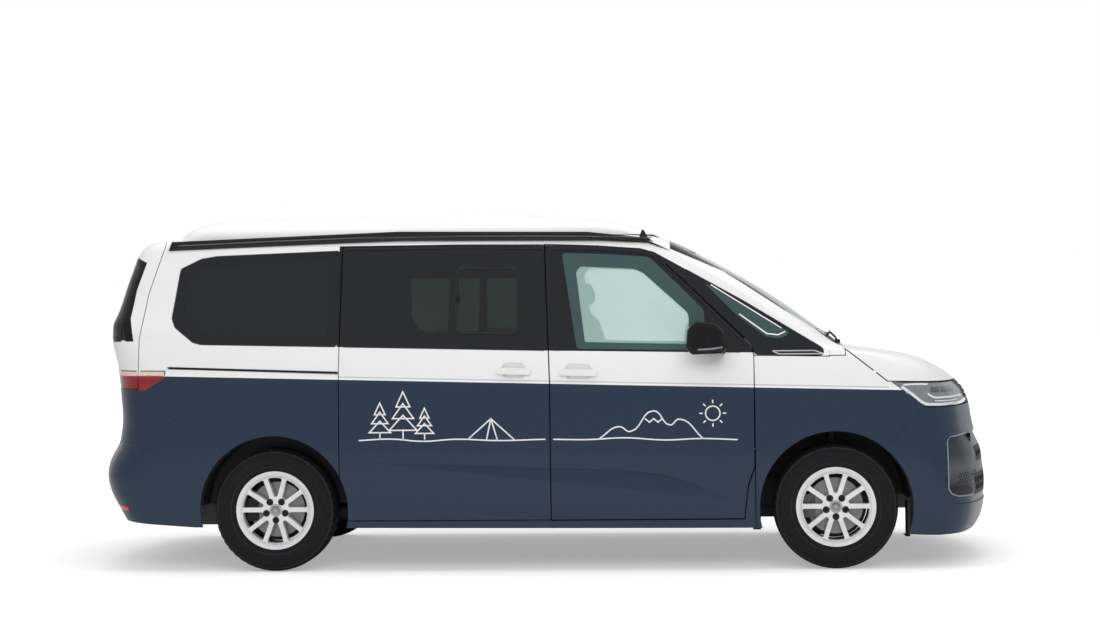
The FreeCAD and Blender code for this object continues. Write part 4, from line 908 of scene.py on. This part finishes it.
def tyre_model():
    # Half sections are spun round the axle line, then the cross grooves are pressed into the tread.
    half = [(0.2205, 0.080), (0.2215, 0.088), (0.226, 0.0945), (0.236, 0.0985), (0.243, 0.0995),
            (0.247, 0.1025), (0.252, 0.1030), (0.262, 0.1055), (0.280, 0.1070), (0.297, 0.1062),
            (0.298, 0.1068), (0.306, 0.1060), (0.307, 0.1045), (0.318, 0.1010), (0.329, 0.0955),
            (0.3365, 0.0880), (0.3400, 0.0760), (0.3412, 0.0640), (0.3345, 0.0635), (0.3345, 0.0555),
            (0.3420, 0.0550), (0.3424, 0.0220), (0.3350, 0.0215), (0.3350, 0.0125), (0.3426, 0.0120)]
    tyre, mesh = drawn("tyre")
    row = [mesh.verts.new((0, w, r)) for r, w in half + [(r, -w) for r, w in reversed(half)]]
    for one, other in zip(row, row[1:] + row[:1]):
        mesh.edges.new((one, other))
    bmesh.update_edit_mesh(tyre.data)
    bpy.ops.mesh.select_all(action="SELECT")
    bpy.ops.mesh.spin(steps=spin_steps, angle=math.tau, center=origin, axis=(0, 1, 0))
    evened(done(tyre), 0.00005)

    def in_groove(middle, normal):
        # Every third strip of the shoulder ribs and every fourth of the inner ribs.
        radius = math.hypot(middle.x, middle.z)
        turn = int((math.atan2(middle.x, middle.z) + math.pi) / (math.tau / spin_steps))
        shoulder = 0.064 < abs(middle.y) < 0.093 and radius > 0.331 and turn % 3 == 0
        inner = 0.023 < abs(middle.y) < 0.0545 and radius > 0.338 and turn % 4 == 1
        return shoulder or inner

    return smooth(framed(tyre, in_groove, (0.0004, -0.005)), 28)


def wheels():
    tyre = tyre_model()
    bolt = joined("wheel_bolt", drum("bolt_head", 0.0085, 0.010, origin, "Y", 0.0015, 6),
                  drum("bolt_collar", 0.0098, 0.004, (0, 0.003, 0), "Y", 0.001, 24))
    cap = framed(drum("cap", 0.0312, 0.005, origin, "Y", 0.0012), sideways, (0.005, 0),
                 (0.0015, -0.001))
    cover = framed(drum("cover", 0.0155, 0.004, origin, "Y", 0.001, 24), sideways, (0.005, 0),
                   (0.001, -0.001))
    plate = framed(drum("shield", 0.178, 0.002, origin, "Y", 0, 64), sideways, (0.010, 0),
                   (0.006, -0.0007))
    valve = rod("valve", [(0.196, 0, 0), (0.196, 0.010, 0), (0.1955, 0.024, 0)], 0.004)
    valves = {left: valve, right: other_side(valve, "valve_right")}
    for word, x, side in (("front_right", front_axle, right), ("front_left", front_axle, left),
                          ("rear_right", rear_axle, right), ("rear_left", rear_axle, left)):
        body = "wheel_" + word
        carrier = word.replace("front_", "steering_knuckle_") if x > 0 else "vehicle_body"
        fitted(moved(tyre, "road_tyre_" + word, (x, side * wheel_offset, axle_height)), rubber,
               "tyre_rubber", body, "tyre_" + word)
        for model, name, depth, material, slot in (
                (bolt, "wheel_bolts_", 0.8715, dark_metal, "cast_metal"),
                (cover, "bolt_covers_", 0.8815, black_plastic, "black_trim")):
            lies = [(i + 0.5) * math.tau / 5 for i in range(5)]
            ring = [moved(model, "copy", (x + bolt_circle * math.sin(lie), side * depth,
                                          axle_height + bolt_circle * math.cos(lie))) for lie in lies]
            fitted(joined(name + word, *ring), material, slot, body)
        fitted(moved(plate, "brake_shield_" + word, (x, side * 0.786, axle_height)), chassis_coat,
               "chassis_black", carrier)
        fitted(moved(cap, "centre_cap_" + word, (x, side * 0.8808, axle_height)), silver_alloy,
               "alloy", body)
        fitted(moved(valves[side], "tyre_valve_" + word, (x, side * valve_seat, axle_height), 0.31),
               body=body)
    for spare in (tyre, bolt, cap, cover, plate, *valves.values()):
        bpy.data.objects.remove(spare)


# Lamps ------------------------------------------------------------------------------------------

guide_lines = [([(2.020, 1.002), (2.080, 0.958), (2.150, 0.907), (2.200, 0.901), (2.300, 0.901),
                 (2.370, 0.903), (2.398, 0.925)], 0.015),
               ([(2.165, 0.962), (2.195, 0.942), (2.260, 0.938), (2.340, 0.939), (2.385, 0.942)],
                0.010),
               ([(2.030, 1.012), (2.100, 1.014), (2.170, 1.012)], 0.010),
               ([(2.205, 0.920), (2.290, 0.919), (2.360, 0.920)], 0.005)]


def head_lamps():
    lens = node_copy("headlamps", "head_lamp_lens")
    fitted(smooth(lens, 25), lamp_lens, "lamp_glass", "vehicle_body", "headlamps")
    bowl = node_copy("headlamps", "head_lamp_bowl")
    edit(bowl)
    bpy.ops.transform.shrink_fatten(value=-0.005)
    fitted(smooth(done(bowl), 25), lamp_bowl)
    for side, word in both_sides:
        guides = [strip("guide", points, width, bowl, 0.0008, 0.0022, side, 1, flowing=True)
                  for points, width in guide_lines]
        fitted(smooth(joined("light_guides_" + word, *guides)), light_guide, "lamp_glass")
        bars = [strip("bar", [(start, 0.982), (end, 0.981)], 0.030, bowl, 0.0008, 0.0012, side, 2)
                for start, end in ((2.185, 2.236), (2.243, 2.290), (2.297, 2.338))]
        fitted(smooth(joined("lamp_bars_" + word, *bars)), lamp_bar, "lamp_glass")


def reflectors():
    strips("rear_reflector_%s", [(-2.405, 0.366), (-2.360, 0.360), (-2.310, 0.356)], 0.030,
           "rear_bumper", 0.0002, 0.0025, reflector_red, "red_lamp", levels=1, flowing=True)


# Trim on the skin -------------------------------------------------------------------------------

sun_middle = Vector((0.985, 0.868))


def fir(x, base, height):
    strokes = [[(x, base), (x, base + height * 0.22)]]
    for share, reach in ((0.20, 0.30), (0.45, 0.23), (0.70, 0.15)):
        low, half = base + height * share, height * reach
        strokes.append([(x - half, low), (x, low + height * 0.32), (x + half, low), (x - half, low)])
    return strokes


def round_sun(radius, count):
    turns = [i * math.tau / count for i in range(count)]
    return [sun_middle + Vector((math.cos(turn), math.sin(turn))) * radius for turn in turns]


def side_drawing():
    # A plain white line of hills, firs, a tent and a sun, in one width, parted at the door gap.
    # A stroke that ends where it starts is closed.
    rear_strokes = [[(-0.98, 0.735), (-0.80, 0.742), (-0.62, 0.728), (-0.44, 0.738),
                     (-0.20, 0.729), (0.062, 0.734)]]
    for x, height in ((-0.86, 0.20), (-0.73, 0.26), (-0.61, 0.17)):
        rear_strokes += fir(x, 0.738, height)
    rear_strokes += [[(-0.37, 0.736), (-0.24, 0.850), (-0.11, 0.732)],
                     [(-0.24, 0.850), (-0.265, 0.734)], [(-0.24, 0.850), (-0.205, 0.733)]]
    sun = round_sun(0.040, 16)
    front_strokes = [
        [(0.105, 0.733), (0.30, 0.730), (0.50, 0.738), (0.72, 0.724), (0.92, 0.730), (1.12, 0.722)],
        [(0.36, 0.735), (0.47, 0.800), (0.53, 0.772), (0.66, 0.885), (0.75, 0.806), (0.80, 0.838),
         (0.93, 0.730)],
        [(0.612, 0.842), (0.637, 0.822), (0.660, 0.842), (0.684, 0.822), (0.708, 0.842)],
        sun + sun[:1], *zip(round_sun(0.055, 8), round_sun(0.074, 8))]
    for side, word in both_sides:
        for strokes, node, body in ((rear_strokes, "sliding_door_" + word, "vehicle_body"),
                                    (front_strokes, "door_" + word, "front_door_" + word)):
            pieces = []
            for points in strokes:
                closed = points[0] == points[-1]
                places = points[:-1] if closed else points
                flowing = len(places) > 5 and not closed
                pieces.append(ribbon(places, 0.0075, side, 2, closed, flowing))
            piece = laid_on(joined("side_line_" + node, *pieces), nodes[node], 0.0004, 0.0003, side)
            fitted(piece, white_film, "body_white", body)


def window_trims(cover):
    # The bare bright frame at the foot of each front pillar's black cover, and the bright lines
    # inside and above the small pillar window.
    foot = [(1.318, 1.2065), (1.552, 1.2055), (1.600, 1.1875), (1.352, 1.1895)]
    strips("pillar_frame_%s", rounded_line(foot, 0.006), 0.006, cover, 0.0003, 0.0018, chrome, "alloy",
           levels=2, closed=True)
    strips("quarter_trim_%s", [(1.140, 1.412), (1.290, 1.302), (1.352, 1.294), (1.392, 1.312)], 0.007,
           cover, 0.0002, 0.0006, light_guide, "alloy", levels=2)
    strips("quarter_line_%s", [(0.985, 1.577), (1.372, 1.331)], 0.006, cover, 0.0002, 0.0006,
           light_guide, "alloy")


def wiper(name, root, blade_start, blade_end, carrier, body):
    # An arm from its spindle to the middle of a blade that lies on the glass.
    tree = tree_of(nodes[carrier])

    def above(share, height):
        place, normal = tree.find_nearest(Vector(blade_start).lerp(Vector(blade_end), share))[:2]
        return place + normal * height

    base, middle = Vector(root), above(0.5, 0.020)
    elbow = base.lerp(middle, 0.4) + Vector((0, 0, 0.006))
    fitted(joined(name, rod("arm", [base, elbow, middle], 0.0065),
                  rod("blade", [above(i / 6, 0.013) for i in range(7)], 0.0055),
                  rod("edge", [above(i / 6, 0.0045) for i in range(7)], 0.0038, 1),
                  drum("boss", 0.015, 0.020, root, "Z", 0.003, 24)), body=body)


def wipers():
    wiper("screen_wiper_right", (1.700, -0.62, 1.252), (1.645, -0.52, 1.276), (1.690, 0.06, 1.276),
          "cowl_panel", "vehicle_body")
    wiper("screen_wiper_left", (1.700, 0.62, 1.252), (1.645, 0.54, 1.276), (1.690, 0.10, 1.276),
          "cowl_panel", "vehicle_body")
    wiper("rear_wiper", (-2.545, 0.0, 1.300), (-2.53, -0.02, 1.345), (-2.51, 0.34, 1.350),
          "tailgate_glass", "tailgate_door")


def mirror_glasses():
    for side, word in both_sides:
        tree = tree_of(nodes["mirror_" + word])
        back = tree.ray_cast(Vector((0.5, side * 1.05, 1.285)), Vector((1, 0, 0)))[0].x
        pane = block("mirror_glass_" + word, (back - 0.004, side * 0.996, 1.226),
                     (back - 0.0006, side * 1.106, 1.350), 0.0012)
        edit(pane)
        pick(pane, lambda middle, lie: abs(lie.x) > 0.99, "EDGE")
        bpy.ops.mesh.bevel(offset=0.016, offset_type="OFFSET", segments=5, affect="EDGES")
        fitted(smooth(done(pane)), mirror_silver, "alloy", "front_door_" + word)
    strips("mirror_lamp_%s", [(0.905, 1.222), (0.985, 1.226), (1.040, 1.234)], 0.010, "mirror_%s",
           0.0001, 0.0008, lamp_bowl, "lamp_glass", "front_door_%s", levels=1, flowing=True)


def rear_plate():
    # A blank plate in the tailgate's recess, with its holder.
    fitted(block("plate_holder", (-2.4935, -0.266, 0.826), (-2.4895, 0.266, 0.944), 0.0015),
           body="tailgate_door")
    plate = block("blank_number_plate", (-2.4955, -0.260, 0.830), (-2.4935, 0.260, 0.940), 0.0008)
    framed(plate, lambda middle, normal: normal.x < -0.9, (0.005, 0), (0.0015, -0.0006))
    fitted(plate, plate_white, "body_white", "tailgate_door")


def facing(piece, place, normal):
    # A piece made upright at the origin is set on a skin, square to it.
    piece.rotation_euler = normal.to_track_quat("Z", "Y").to_euler()
    piece.location = place
    return settle(piece)


def arch_flaps():
    # The flaps ahead of the front wheels' arches, and the round sensors in the bumper's corners.
    tree = tree_of(nodes["front_bumper"])
    for side, word in both_sides:
        flap = block("flap", (2.048, side * 0.76, 0.178), (2.060, side * 0.905, 0.365), 0.002)
        edit(flap)
        pick(flap, lambda middle, normal: normal.z < -0.9)
        bpy.ops.transform.translate(value=(-0.014, 0, 0))
        web = block("web", (2.050, side * 0.884, 0.196), (2.104, side * 0.888, 0.390), 0.0015)
        framed(web, sideways, (0.008, 0.0006))
        fitted(joined("front_arch_flap_" + word, flap, web))
        for x, z in ((2.262, 0.486), (2.458, 0.510)):
            spot, normal = seen_from_side(tree, x, z, side)
            if spot is not None:
                eye = drum("eye", 0.0125, 0.004, origin, "Z", 0.001, 24)
                facing(eye, spot - normal * 0.0008, normal)
                fitted(joined("parking_sensor_%s_%d" % (word, round(x * 1000)), eye))


def gap_backings():
    # Dark sealing sheets behind the joints of the front wings, which stop light coming through.
    for side, word in both_sides:
        seal = block("wing_joint_seal_" + word, (1.202, side * 0.846, 0.215),
                     (1.246, side * 0.850, 0.640), 0.0015)
        fitted(framed(seal, sideways, (0.006, 0.0006)))
        sheet = block("splash_sheet_" + word, (1.190, side * 0.496, 0.300),
                      (1.370, side * 0.499, 0.480), 0.001)
        fitted(framed(sheet, sideways, (0.012, 0), (0.004, 0.001)))


def arch_bands():
    # A rubber band round each wheel arch liner, which reaches out to the skin and closes the joint.
    radius, inner, outermost = 0.4222, 0.882, 0.945
    for axle, end, skins in ((front_axle, "front", ("fender_%s", "front_bumper")),
                             (rear_axle, "rear", ("body_side_%s", "rear_bumper"))):
        for side, word in both_sides:
            trees = [tree_of(nodes[skin.replace("%s", word)]) for skin in skins]

            def place(along, across):
                lie = math.radians(5 + 170 * along)
                x, z = axle + radius * math.cos(lie), axle_height + radius * math.sin(lie)
                hits = [tree.ray_cast(Vector((x, side * 0.884, z)), Vector((0, side, 0)))[0]
                        for tree in trees]
                reach = min([abs(hit.y) - 0.0015 for hit in hits if hit] + [outermost])
                return x, side * (inner + (reach - inner) * across), z

            fitted(bent_sheet("arch_band_%s_%s" % (end, word), 72, 3, place, 0.0014, 0.0))


inset_outline = [(2.300, 0.400), (2.278, 0.430), (2.275, 0.690), (2.292, 0.716), (2.415, 0.731),
                 (2.436, 0.722), (2.436, 0.400)]
inset_rim_highlight = [(2.430, 0.388), (2.330, 0.393), (2.292, 0.408), (2.274, 0.435), (2.271, 0.690),
              (2.276, 0.706), (2.291, 0.719), (2.360, 0.728), (2.420, 0.735)]
inset_slot = [(2.300, 0.412), (2.296, 0.428), (2.330, 0.440), (2.428, 0.434), (2.428, 0.400),
              (2.335, 0.402)]


def corner_insets():
    # The recess at each front corner of the bumper, with a pale strip round its rim that is a painted
    # highlight, its cells and the slot below.
    skin = nodes["front_bumper"]
    tree = tree_of(skin)
    first_cell = 2.335
    for side, word in both_sides:
        sheet = stood(patch("corner_inset_" + word, inset_outline, 0.008), side)
        fitted(smooth(laid_on(sheet, skin, 0.0002, 0.0012, side)), inset_grey)
        # Painted highlight: a pale strip along the rim of the recess.
        edge = strip("inset_rim_highlight_" + word, inset_rim_highlight, 0.007, skin, 0.0004, 0.0030, side)
        fitted(smooth(edge), rim_highlight, "body_blue")
        slot = stood(patch("inset_slot_" + word, inset_slot, 0.006), side)
        fitted(smooth(laid_on(slot, skin, 0.0012, 0.0010, side)))
        cells = []
        for row in range(4):
            for column in range(7):
                x = first_cell + 0.0165 * column + (0.008 if row % 2 else 0.0)
                z = 0.468 + 0.0145 * row + 0.08 * (x - first_cell)
                spot, normal = seen_from_side(tree, x, z, side)
                if spot is not None and abs(spot.y) >= 0.62:
                    cell = drum("cell", 0.0068, 0.0035, origin, "Z", 0.0006, 6)
                    cells.append(facing(cell, spot, normal))
        fitted(joined("inset_cells_" + word, *cells), black_gloss)


def side_strips():
    # The covers of the slide rails, the lines along the roof rails and the tail lamps' pale bands.
    skin, gate = "body_side_%s", "tailgate"
    strips("slide_rail_cover_%s", [(-2.062, 1.1485), (-1.096, 1.1125)], 0.013, skin, 0.0004, 0.0012,
           levels=5)
    strips("roof_rail_line_%s", [(-2.03, 1.839), (-1.50, 1.857), (-1.0, 1.868), (-0.4, 1.869),
                                 (0.0, 1.864), (0.40, 1.856), (0.66, 1.846)], 0.0055, "roof_rails",
           0.0002, 0.0008, rail_line)
    strips("tail_band_%s", [(-2.222, 1.1205), (-2.082, 1.1190)], 0.021, skin, 0.0004, 0.0022,
           lamp_band, "red_lamp")
    strips("tail_band_line_%s", [(-2.222, 1.1335), (-2.076, 1.1320)], 0.005, skin, 0.0004, 0.0012)
    strips("tail_band_end_%s", [(-2.0795, 1.1320), (-2.0795, 1.1080)], 0.006, skin, 0.0004, 0.0012)
    strips("gate_band_%s", [(-2.360, 1.1225), (-2.246, 1.1205)], 0.019, gate, 0.0004, 0.0022,
           lamp_band, "red_lamp", "tailgate_door")
    strips("gate_band_line_%s", [(-2.360, 1.1345), (-2.246, 1.1335)], 0.005, gate, 0.0004, 0.0012,
           body="tailgate_door")


def gate_corners():
    # The tailgate's lower corners, drawn from its skin round to the body sides.
    gate = tree_of(nodes["tailgate"])
    for side, word in both_sides:
        def place(share, rise):
            height = 0.729 + rise * 0.301
            level = min(max(height, 0.745), 1.024)
            inner, start = (gate.ray_cast(Vector((-2.9, side * reach, level)), Vector((1, 0, 0)))[0]
                            for reach in (0.660, 0.688))
            inner.z = height
            start = Vector((start.x, side * 0.6908, height))
            leaving = (start - inner).normalized()
            end, arriving = Vector((-2.2520, side * 0.8970, height)), Vector((0.89, side * 0.45, 0))
            turn = leaving.x * arriving.y - leaving.y * arriving.x
            reach = ((end.x - start.x) * arriving.y - (end.y - start.y) * arriving.x) / turn
            bend = start + leaving * reach
            bend.z = height
            return curved(start, bend, end, share)

        fitted(bent_sheet("gate_corner_" + word, 18, 14, place, 0.0025, float(side)), paint,
               "body_blue", "tailgate_door")


def radiator():
    # The finned cooler behind the front openings.
    frame_piece = block("radiator_frame", (2.398, -0.60, 0.372), (2.408, 0.60, 0.660), 0.002)
    framed(frame_piece, lambda middle, normal: normal.x > 0.9, (0.018, 0), (0.003, -0.004))
    fin = block("fin", (2.4045, -0.578, 0.393), (2.4075, 0.578, 0.3945))
    modified(fin, "ARRAY", count=44, use_relative_offset=False, use_constant_offset=True,
             constant_offset_displace=(0, 0, 0.0056))
    fitted(joined("radiator", frame_piece, fin), chassis_coat, "chassis_black")


# Seats and bench --------------------------------------------------------------------------------

seat_cushion = [(0.400, 0.738), (0.872, 0.746), (0.903, 0.796), (0.880, 0.854), (0.640, 0.846),
                (0.410, 0.834)]
seat_back = [(0.404, 0.802), (0.450, 0.890), (0.336, 1.250), (0.292, 1.400), (0.250, 1.434),
             (0.182, 1.420), (0.176, 1.350), (0.286, 0.960), (0.312, 0.812)]
head_rest = [(0.282, 1.476), (0.292, 1.530), (0.262, 1.612), (0.214, 1.620), (0.188, 1.560),
             (0.206, 1.476)]
bench_cushion = [(-1.640, 0.784), (-1.140, 0.782), (-1.108, 0.826), (-1.138, 0.894), (-1.500, 0.888),
                 (-1.640, 0.874)]
bench_back = [(-1.640, 0.888), (-1.605, 0.930), (-1.700, 1.250), (-1.770, 1.460), (-1.832, 1.482),
              (-1.868, 1.430), (-1.790, 1.100), (-1.742, 0.888)]
along, across, upright = 0, 1, 2
flank = 0.75


def drawn_in(outline, amount):
    # A smaller outline, for a pad that swells back to its full size.
    centre = centre_of(outline)
    return [tuple(Vector(p) + (centre - Vector(p)).normalized() * amount) for p in outline]


def blown(piece, cap):
    # The cover is filled by a cloth run, and no point may travel further than the cap.
    start = [vertex.co.copy() for vertex in piece.data.vertices]
    scene = bpy.context.scene
    cloth = piece.modifiers.new("cloth", "CLOTH")
    cloth.settings.quality = 4
    cloth.settings.use_pressure = True
    cloth.settings.uniform_pressure_force = 4.0
    cloth.settings.effector_weights.gravity = 0.0
    cloth.collision_settings.use_collision = False
    cloth.point_cache.frame_start = 1
    cloth.point_cache.frame_end = 20
    for step in range(1, 21):
        scene.frame_set(step)
    make_active(piece)
    bpy.ops.object.modifier_apply(modifier=cloth.name)
    scene.frame_set(1)
    for vertex, first in zip(piece.data.vertices, start):
        travel = vertex.co - first
        if travel.length > cap:
            vertex.co = first + travel.normalized() * cap


def sewn(piece, seams, reach, depth):
    # Channels are drawn in where the cover is sewn through, but not on its flanks.
    vertices = piece.data.vertices
    normals = [vertex.normal.copy() for vertex in vertices]
    for vertex, normal in zip(vertices, normals):
        near = min(abs(vertex.co[part] - place) for part, place in seams)
        if near < reach and abs(normal.y) <= flank:
            vertex.co -= normal * depth * (1 - (near / reach) ** 2)


def pad(name, outline, inner, outer, corner, cap, panel, *cross_seams):
    # Woven cloth lies on the middle panel between two seams, the side material round it.
    piece = prism(drawn_in(outline, 0.003), inner + 0.003, outer - 0.003, 0.0)
    modified(piece, "BEVEL", width=corner, segments=4, limit_method="ANGLE")
    modified(piece, "REMESH", mode="VOXEL", voxel_size=0.0105)
    blown(piece, cap)
    modified(piece, "SUBSURF", levels=1, render_levels=1)
    sewn(piece, [(across, place) for place in panel] + list(cross_seams), 0.009, 0.005)
    piece.name = name
    surface(piece, seat_cloth, seat_side)
    for face in piece.data.polygons:
        face.use_smooth = True
        woven_face = panel[0] < face.center.y < panel[1] and abs(face.normal.y) < flank
        face.material_index = 0 if woven_face else 1
    return piece


def padded_pair(piece, twin):
    piece.name += "_right"
    for one in (piece, twin):
        rides(one, "vehicle_body", "seat_cloth")


def front_seats():
    wide, panel = (-0.700, -0.180, 0.030, 0.014), (-0.575, -0.305)
    pads = [pad("seat_cushion", seat_cushion, *wide, panel, (along, 0.60), (along, 0.75)),
            pad("seat_back", seat_back, *wide, panel, (upright, 1.00), (upright, 1.16),
                (upright, 1.31)),
            pad("head_rest", head_rest, -0.570, -0.310, 0.026, 0.010, (-0.530, -0.350))]
    for piece in pads:
        padded_pair(piece, other_side(piece, piece.name + "_left"))
    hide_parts("front_seats")
    for side, word in both_sides:
        plinth = block("seat_plinth_" + word, (0.430, side * 0.250, 0.470),
                       (0.810, side * 0.630, 0.700), 0.008)
        framed(plinth, lambda middle, normal: max(abs(normal.x), abs(normal.y)) > 0.95
               and 0.52 < middle.z < 0.65, (0.030, 0), (0.004, -0.006), use_individual=True)
        fitted(plinth, soft_plastic, "seat_cloth")
        turntable = drum("turntable", 0.185, 0.022, (0.62, side * 0.44, 0.711), "Z", 0.004)
        rails = [block("rail", (0.44, place - 0.018, 0.722), (0.84, place + 0.018, 0.742), 0.003)
                 for place in (side * 0.275, side * 0.605)]
        fitted(joined("seat_rails_" + word, turntable, *rails), dark_metal, "chassis_black")
        stems = [rod("stem", [(0.228, side * place, 1.405), (0.236, side * place, 1.45),
                              (0.244, side * place, 1.50)], 0.007) for place in (0.38, 0.50)]
        fitted(joined("head_rest_stems_" + word, *stems), chrome, "alloy")


def rear_bench():
    wide, panel = (-0.640, -0.185, 0.030, 0.014), (-0.560, -0.265)
    pads = [pad("bench_cushion", bench_cushion, *wide, panel, (along, -1.30), (along, -1.46)),
            pad("bench_back", bench_back, *wide, panel, (upright, 1.05), (upright, 1.20),
                (upright, 1.35))]
    for piece in pads:
        padded_pair(piece, moved(piece, piece.name + "_left", (0, 0.455, 0)))
    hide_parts("rear_bench")
    chest = block("bench_chest", (-1.600, -0.636, 0.470), (-1.180, 0.266, 0.772), 0.006)
    framed(chest, lambda middle, normal: normal.x > 0.95 and 0.5 < middle.z < 0.7, (0.030, 0),
           (0.003, -0.004), (0.003, 0.004))
    fitted(chest, cabinet_laminate, "seat_cloth")
    fitted(block("chest_pull", (-1.182, -0.28, 0.715), (-1.172, -0.09, 0.730), 0.003), silver_alloy,
           "alloy")


# Kitchen and tent -------------------------------------------------------------------------------

def kitchen_fittings():
    tap = rod("tap", [(-0.70, 0.612, 1.236), (-0.70, 0.612, 1.30), (-0.70, 0.595, 1.345),
                      (-0.70, 0.555, 1.350), (-0.70, 0.535, 1.325)], 0.008, 4)
    collar = drum("collar", 0.017, 0.012, (-0.70, 0.612, 1.244), "Z", 0.003, 32)
    lever = rod("lever", [(-0.70, 0.612, 1.26), (-0.672, 0.612, 1.272)], 0.0045)
    fitted(joined("kitchen_tap", tap, collar, lever), chrome, "alloy")
    stands = []
    for x in (-0.18, -0.40):
        stands.append(smooth(made("ring", bpy.ops.mesh.primitive_torus_add, location=(x, 0.51, 1.2445),
                                  major_radius=0.062, minor_radius=0.004, major_segments=48,
                                  minor_segments=10)))
        for turn in range(4):
            lie = (turn + 0.5) * math.tau / 4
            reach = Vector((math.cos(lie), math.sin(lie), 0))
            middle = Vector((x, 0.51, 1.250))
            stands.append(rod("bar", [middle + reach * 0.03, middle + reach * 0.075,
                                      middle + reach * 0.085 - Vector((0, 0, 0.008))], 0.0035))
    fitted(joined("pan_stands", *stands), cast_metal, "cast_metal")
    knobs = [drum("knob", 0.015, 0.022, (x, 0.371, 1.195), "Y", 0.003, 32) for x in (-0.24, -0.34)]
    fitted(joined("hob_knobs", *knobs))


def folded_tent():
    # The cloth lies in flat pleats between the roof and the lifting shell, with the pleats deeper
    # towards the front.
    low, high = 1.8702, 1.8958
    front, back, half = 0.415, -1.835, 0.545
    corner, pleats = 0.06, 12
    loop = []
    for x, y, start in ((front - corner, half - corner, 0), (back + corner, half - corner, 90),
                        (back + corner, -half + corner, 180), (front - corner, -half + corner, 270)):
        for step in range(7):
            lie = math.radians(start + step * 15)
            loop.append((x + corner * math.cos(lie), y + corner * math.sin(lie), math.cos(lie),
                         math.sin(lie)))
    dense = []
    for one, other in zip(loop, loop[1:] + loop[:1]):
        count = max(1, round(math.hypot(one[0] - other[0], one[1] - other[1]) / 0.05))
        for share in (step / count for step in range(count)):
            dense.append([a * (1 - share) + b * share for a, b in zip(one, other)])
    cloth, mesh = drawn("folded_tent_cloth")
    rows = []
    for level in range(pleats + 1):
        row = []
        for x, y, out_x, out_y in dense:
            depth = 0.004 + 0.034 * min(1.0, max(0.0, (x - back) / (front - back)))
            inward = depth if level % 2 else 0.0
            row.append(mesh.verts.new((x - out_x * inward, y - out_y * inward,
                                       low + (high - low) * level / pleats)))
        rows.append(row)
    for lower, upper in zip(rows, rows[1:]):
        for i in range(len(dense)):
            j = (i + 1) % len(dense)
            mesh.faces.new((lower[i], lower[j], upper[j], upper[i]))
    bmesh.update_edit_mesh(cloth.data)
    evened(done(cloth))
    surface(cloth, tent_cloth)
    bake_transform(cloth)
    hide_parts("tent_bellows")


# Studio -----------------------------------------------------------------------------------------

picture_width = 1100
focal_pixels = 1965.1
sensor_width = 36.0


def lamp(name, place, size, power):
    data = bpy.data.lights.new(name, "AREA")
    data.shape = "RECTANGLE"
    data.size, data.size_y = size
    data.energy = power
    piece = linked(name, data)
    piece.location = place
    piece.rotation_euler = (Vector((0, 0, 0.8)) - Vector(place)).to_track_quat("-Z", "Y").to_euler()
    piece.visible_glossy = False


def studio():
    # A white floor and background that glow for the camera, two lamps, and the photo's camera.
    scene = bpy.context.scene
    scene.view_settings.view_transform = "Standard"
    ground = made("studio_floor", bpy.ops.mesh.primitive_plane_add, size=160, location=origin)
    look = Look("studio_floor")
    span = look.new("VectorMath", Vector=look.place)
    span.operation = "LENGTH"
    seen = look.output(look.new("LightPath"), "Is Camera Ray")
    look.shader(Base_Color=(0.80, 0.80, 0.80, 1), Roughness=0.9, Specular_IOR_Level=0.0,
                Emission_Color=(1, 1, 1, 1),
                Emission_Strength=look.spread(look.output(span, "Value"), 0.36, 1.0, 3.5, 14.0) * seen)
    surface(ground, look.material)

    world = scene.world = bpy.data.worlds.new("studio")
    world.use_nodes = True
    tree = world.node_tree
    path = tree.nodes.new("ShaderNodeLightPath")
    seen, passed = (Value(tree, path.outputs[way]) for way in ("Is Camera Ray", "Is Transmission Ray"))
    back = tree.nodes["Background"]
    back.inputs["Color"].default_value = (1, 1, 1, 1)
    tree.links.new((seen.math("MAXIMUM", passed) * 0.38 + 0.62).socket, back.inputs["Strength"])

    lamp("overhead", (0, 0, 7), (8, 6), 300)
    lamp("near_side", (1.0, -9, 5), (8, 3), 240)

    camera_data = bpy.data.cameras.new("camera")
    camera_data.sensor_width = sensor_width
    camera_data.lens = focal_pixels / picture_width * sensor_width
    camera_data.clip_end = 200
    camera = linked("camera", camera_data)
    yaw, roll = -0.0636, -0.013
    forward = Vector((math.sin(yaw), math.cos(yaw), 0))
    sideward = forward.cross(Vector((0, 0, 1))).normalized()
    up = sideward.cross(forward)
    turn = Matrix((sideward * math.cos(roll) + up * math.sin(roll),
                   up * math.cos(roll) - sideward * math.sin(roll), -forward)).transposed()
    camera.matrix_world = Matrix.Translation((0.78596, -11.8, 1.4474)) @ turn.to_4x4()
    scene.camera = camera


door_glasses()
covers = side_panes()
sliding_panes()
end_panes()
wheels()
head_lamps()
reflectors()
side_drawing()
window_trims(covers)
wipers()
mirror_glasses()
rear_plate()
arch_flaps()
gap_backings()
arch_bands()
corner_insets()
side_strips()
gate_corners()
radiator()
front_seats()
rear_bench()
kitchen_fittings()
folded_tent()
studio()
